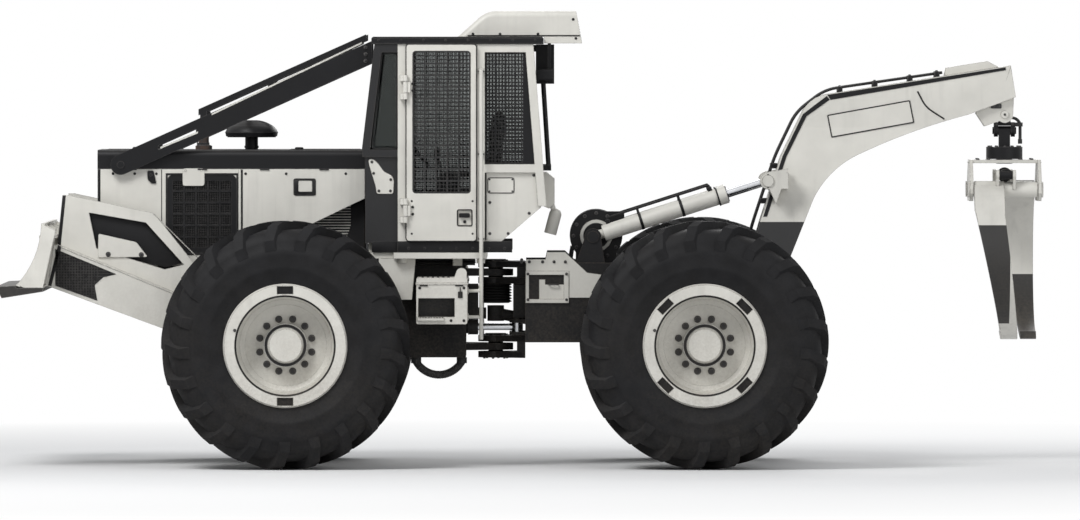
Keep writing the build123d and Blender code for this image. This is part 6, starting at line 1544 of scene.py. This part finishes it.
bm = bmesh.new()
for s in (-1, 1):
    add_bead(bm, (2.38, s * 0.6003, 1.530), (2.72, s * 0.6003, 1.868), 0.005)
    add_bead(bm, (2.30, s * 0.6553, 1.166), (3.40, s * 0.6553, 1.619), 0.005)
    for y in (0.292, 0.308, 0.892, 0.908):
        add_bead(bm, (3.425, s * y, 1.76), (3.475, s * y, 1.40), 0.005)
finish_piece("blade_weld_beads", bm, pale_paint, "blade", "cream_paint", smooth=60)

# ------------------------------------------------------------------ winch
# A hydraulic winch behind the cab: black gearcases with pale caps, and greased wire rope
# wound in a tight layer on its drum.
wire_rope = plain_finish(
    "wire_rope", (0.16, 0.15, 0.14), (0.6, 1.3), (380.0, 16.0), 0.45, Metallic=0.8
)
paint_node(black_paint, "winch")
rope_low, rope_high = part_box("winch_rope")
drum = (rope_low + rope_high) / 2
ROPE_R, TURN_STEPS, CORE_R = 0.0095, 28, 0.105
turns = int((rope_high.y - rope_low.y - 2 * ROPE_R) / (2 * ROPE_R))
lay_r = (rope_high.x - rope_low.x) / 2 - ROPE_R
bm = bmesh.new()
points = []
for n in range(turns * TURN_STEPS + 1):
    wind = n / TURN_STEPS * math.tau
    y = rope_low.y + ROPE_R + 2 * ROPE_R * n / TURN_STEPS
    points.append(drum + Vector((lay_r * math.cos(wind), y - drum.y, lay_r * math.sin(wind))))
add_tube(bm, points, ROPE_R, fine=1)
under_r = lay_r - 0.002
core = [(rope_low.y, CORE_R), (rope_low.y, under_r), (rope_high.y, under_r), (rope_high.y, CORE_R)]
add_spun(bm, core, 48, (drum.x, 0.0, drum.z))
finish_piece("wound_winch_rope", bm, wire_rope, "rear_frame", "rope_steel", "winch_rope")
bm = bmesh.new()
for s in (-1, 1):
    add_bolt_ring(bm, drum + Vector((0, s * 0.215, 0)), (0, s, 0), 12, 0.168, 0.019, 0.010, 1.3)
finish_piece("winch_bolts", bm, nut_steel, "rear_frame", "cast_grey", smooth=40)
bm = bmesh.new()
cap_line = [(0.2145, 0.120), (0.2200, 0.118), (0.2245, 0.096), (0.2265, 0.070), (0.2265, 0.0)]
for s in (-1, 1):
    add_spun(bm, [(s * a, r) for a, r in cap_line], 40, drum)
finish_piece("winch_caps", bm, pale_paint, "rear_frame", "cream_paint", smooth=40)

# ------------------------------------------------------------------ boom
# A tapered welded box boom in pale paint. Two black steel pipes run up the front of each leg
# and along its back to the tip, under clamps, and its pins are held by bolted retainers.
# the lower legs are painted black as shade
leg_shade_zone = ((-2.40, 0.0, 0.90), (-1.40, 0.60, 1.80), BLACK)
boom_paint = painted_steel("boom_paint", PALE, PALE_PRIMER, 0.42, 0.8, 0.30, 0.35, [leg_shade_zone])
paint_node(boom_paint, "boom")
# the side plates lean in from the legs to the bend, and from there to the tip
LEG_TOP, BEND_Z = 1.3, 2.5
LEG_HALF, BEND_HALF, TIP_LEAN = 0.372, 0.150, 0.064
BOOM_PLATE = [(-2.269, 2.589), (-2.875, 2.698), (-2.906, 2.538), (-2.300, 2.429)]
TOP_EDGE = ((-2.259, 2.747), (-3.628, 2.960))


def cheek(z):
    """Half the boom's width at a height, on the outside of its side plates."""
    if z < LEG_TOP:
        return LEG_HALF
    if z < BEND_Z:
        return LEG_HALF - (z - LEG_TOP) / (BEND_Z - LEG_TOP) * (LEG_HALF - BEND_HALF)
    return BEND_HALF - (z - BEND_Z) * TIP_LEAN


def top_edge(x):
    """Height of the boom's top plate at a place along it."""
    (x0, z0), (x1, z1) = TOP_EDGE
    return z0 + (z1 - z0) * (x - x0) / (x1 - x0)


def add_cheek_plate(bm, outline, s, lift, thick, soften):
    """A plate that lies on a cheek of the boom and follows its slope and its bend."""
    before = set(bm.verts)
    add_plate(bm, outline, "Y", 0.0, thick, soften)
    made = [v for v in bm.verts if v not in before]
    cut = [*made, *edges_of(made), *faces_of(made)]
    bmesh.ops.bisect_plane(bm, geom=cut, dist=1e-5, plane_co=(0, 0, BEND_Z), plane_no=(0, 0, 1))
    made = [v for v in bm.verts if v not in before]
    for v in made:
        v.co.y = s * (cheek(v.co.z) + lift + v.co.y)
    bmesh.ops.recalc_face_normals(bm, faces=faces_of(made))


bm = bmesh.new()
for s in (-1, 1):
    add_cheek_plate(bm, rounded(BOOM_PLATE, 0.020), s, 0.0003, 0.0045, 0.0012)
finish_piece("boom_blank_plates", bm, pale_paint, "boom", "cream_paint")

PIPE_ROW = 0.070
PIPE_ROUTE = (
    (-1.592, 1.62), (-1.688, 1.700), (-1.722, 1.815), (-1.876, 2.282), (-2.036, 2.615),
    (-2.252, 2.781), (-3.120, top_edge(-3.120) + 0.026),
)
bm = bmesh.new()
for s in (-1, 1):
    seam = bent([(-2.936, 0, 2.767), (-2.996, 0, 2.650), (-3.134, 0, 2.562)], 0.09, 8)
    add_tube(bm, [(p.x, s * (cheek(p.z) + 0.0015), p.z) for p in seam], 0.0060)
    for (x0, z0), (x1, z1) in zip(BOOM_PLATE, BOOM_PLATE[1:] + BOOM_PLATE[:1]):
        line = [(x0 + (x1 - x0) * n / 4, z0 + (z1 - z0) * n / 4) for n in range(5)]
        add_tube(bm, [(x, s * (cheek(z) + 0.003), z) for x, z in line], 0.0050)
    # up the front of the leg, over the shoulder, and along the top to the tip
    for y in (s * 0.085, s * 0.055):
        add_tube(bm, bent([(x, y, z) for x, z in PIPE_ROUTE], 0.09, 6), 0.0105)
    low_y, high_y = s * PIPE_ROW - 0.040, s * PIPE_ROW + 0.040
    for x in (-2.36, -2.62, -2.88, -3.08):
        z = top_edge(x) + 0.020
        clamp = box_line(x - 0.020, low_y, x + 0.020, high_y, 0.008)
        add_plate(bm, clamp, "Z", z - 0.026, z + 0.022, 0.004)
        add_bolt(bm, (x, s * PIPE_ROW, z + 0.022), (0, 0, 1), 0.013, 0.007, 1.3)
    for x, z in ((-1.790, 2.060), (-1.842, 2.215), (-1.765, 1.955)):
        clamp = box_line(low_y, z - 0.020, high_y, z + 0.020, 0.008)
        add_plate(bm, clamp, "X", x - 0.055, x - 0.002, 0.004)
finish_piece("boom_pipes", bm, black_paint, "boom", "black_paint", smooth=38)

# black strips on the cheeks, up the front of each leg and along the top edge: painted shade
# under the top plate's edge and beside the leg's pipes
LEG_SHADE_STRIP = [
    (-1.788, 1.84), (-1.934, 2.290), (-2.084, 2.598), (-2.262, 2.734),
    (-2.285, 2.706), (-2.112, 2.582), (-1.962, 2.282), (-1.816, 1.84),
]
TOP_SHADE_STRIP = [
    (x, top_edge(x) - under)
    for x, under in ((-2.266, 0.006), (-3.590, 0.008), (-3.590, 0.030), (-2.290, 0.048))
]
bm = bmesh.new()
for s in (-1, 1):
    for strip in (LEG_SHADE_STRIP, TOP_SHADE_STRIP):
        add_cheek_plate(bm, strip, s, 0.0004, 0.004, 0.001)
finish_piece("boom_painted_shade_strips", bm, black_paint, "boom", "black_paint")

# pin ends with their retainer plates at the pivot, the cylinders and the tip
bm = bmesh.new()
for s in (-1, 1):
    pivot = (-1.689, s * 0.392, 1.137)
    add_bolt_ring(bm, pivot, (0, s, 0), 4, 0.070, 0.020, 0.010, 1.3, 0.4)
    add_side_plate(bm, box_line(-3.560, 2.640, -3.480, 2.676, 0.008), s, 0.092, 0.102, 0.002)
    add_side_bolts(bm, s, 0.102, ((-3.540, 2.658), (-3.500, 2.658)), 0.014, 0.007, 1.2)
    add_side_bolts(bm, s, 0.104, [(-3.584, 2.595)], 0.012, 0.008, 1.4)
    add_side_bolts(bm, s, 0.3965, ((-1.822, 2.062), (-1.822, 2.150)), 0.014, 0.007, 1.2)
finish_piece("boom_pin_bolts", bm, nut_steel, "boom", "cast_grey", smooth=40)

bm = bmesh.new()
for s in (-1, 1):
    add_bead(bm, (-3.604, s * 0.0925, 2.752), (-3.452, s * 0.0925, 2.714), 0.005)
finish_piece("boom_weld_beads", bm, pale_paint, "boom", "cream_paint", smooth=60)

# ------------------------------------------------------------------ grapple
# The grapple hangs from a black swivel link and rotator. Its head and tongs are heavy welded
# plate in pale paint; the tongs are near black below a set height, higher on the left tong.
grapple_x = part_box("rotator")[0].x + 0.135
head_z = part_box("grapple_head")[1].z
paint_node(pale_paint, "grapple_head")
paint_node(black_paint, "grapple_link", "rotator")
TONG_DARK = (0.018, 0.017, 0.016)
for side, dark_top in (("left", 1.78), ("right", 1.40)):
    low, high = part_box(f"{side}_tong")
    start = (low.x - 0.1, 0.0, low.z - 0.1)
    zones = [(start, (high.x + 0.1, 0.9, dark_top), TONG_DARK)]
    if side == "left":
        # the left tong stays pale along the arm's back edge and on its tip
        zones.append((start, (-3.606, 0.9, 1.56), PALE))
        zones.append((start, (high.x + 0.1, 0.9, 1.05), PALE))
    tong_paint = painted_steel(f"{side}_tong_paint", PALE, PALE_PRIMER, 0.45, 0.8, 0.3, 0.5, zones)
    paint_node(tong_paint, f"{side}_tong")

bm = bmesh.new()
rotator_centre = Vector((grapple_x, 0.0, 2.265))
top = rotator_centre + Vector((0, 0, 0.090))
add_bolt_ring(bm, top, (0, 0, 1), 12, 0.116, 0.017, 0.009, 1.3)
for s in (-1, 1):
    out = Vector((s * 0.95, 0.31, 0.0)).normalized()
    port = rotator_centre + Vector((0, 0, 0.045)) + out * 0.128
    add_rod(bm, port, port + out * 0.006, 0.018, 12)
band = [(0.012, 0.134), (0.012, 0.1348), (0.020, 0.1348), (0.020, 0.134)]
add_spun(bm, band, 48, rotator_centre, "Z")
finish_piece("rotator_bolts", bm, nut_steel, "rotator", "cast_grey", smooth=40)

bm = bmesh.new()
for s in (-1, 1):
    for t in (-1, 1):
        pin = (grapple_x + t * (0.277 - 0.0068), s * 0.280, 2.040)
        add_bolt_ring(bm, pin, (t, 0, 0), 3, 0.036, 0.016, 0.006, 1.2, 0.5)
    for x in (-0.20, -0.12, 0.12, 0.20):
        add_bolt(bm, (grapple_x + x, s * 0.135, head_z), (0, 0, 1), 0.020, 0.010, 1.3)
finish_piece("grapple_head_bolts", bm, nut_steel, "grapple_head", "cast_grey", smooth=40)

bm = bmesh.new()
for t in (-1, 1):
    x = grapple_x + t * 0.266
    add_bead(bm, (x, -0.15, 2.240), (x, 0.15, 2.240), 0.005)
    x = grapple_x + t * 0.239
    for s in (-1, 1):
        add_bead(bm, (x, s * 0.16, 2.238), (x, s * 0.02, 2.238), 0.005)
finish_piece("grapple_head_welds", bm, pale_paint, "grapple_head", "cream_paint", smooth=60)

bm = bmesh.new()
for s in (-1, 1):
    places = ((grapple_x - 0.060, 2.525), (grapple_x + 0.060, 2.525))
    add_side_bolts(bm, s, 0.045, places, 0.014, 0.007, 1.3)
finish_piece("grapple_link_bolts", bm, nut_steel, "grapple_link", "cast_grey")

# the grapple cylinder lies across the head, between the tongs' levers
bm = bmesh.new()
low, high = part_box("grapple_barrel")
axis_x, axis_z = (low.x + high.x) / 2, (low.z + high.z) / 2
base_y = high.y - 0.032
base, toward = (axis_x, base_y, axis_z), (axis_x, low.y, axis_z)
dress_barrel(bm, base, toward, base_y - low.y, 0.044, 0.052, (0, 0, -1), 0.007)
fittings = "grapple_barrel_fittings"
finish_piece(fittings, bm, black_paint, "grapple_barrel", "black_paint", smooth=32)
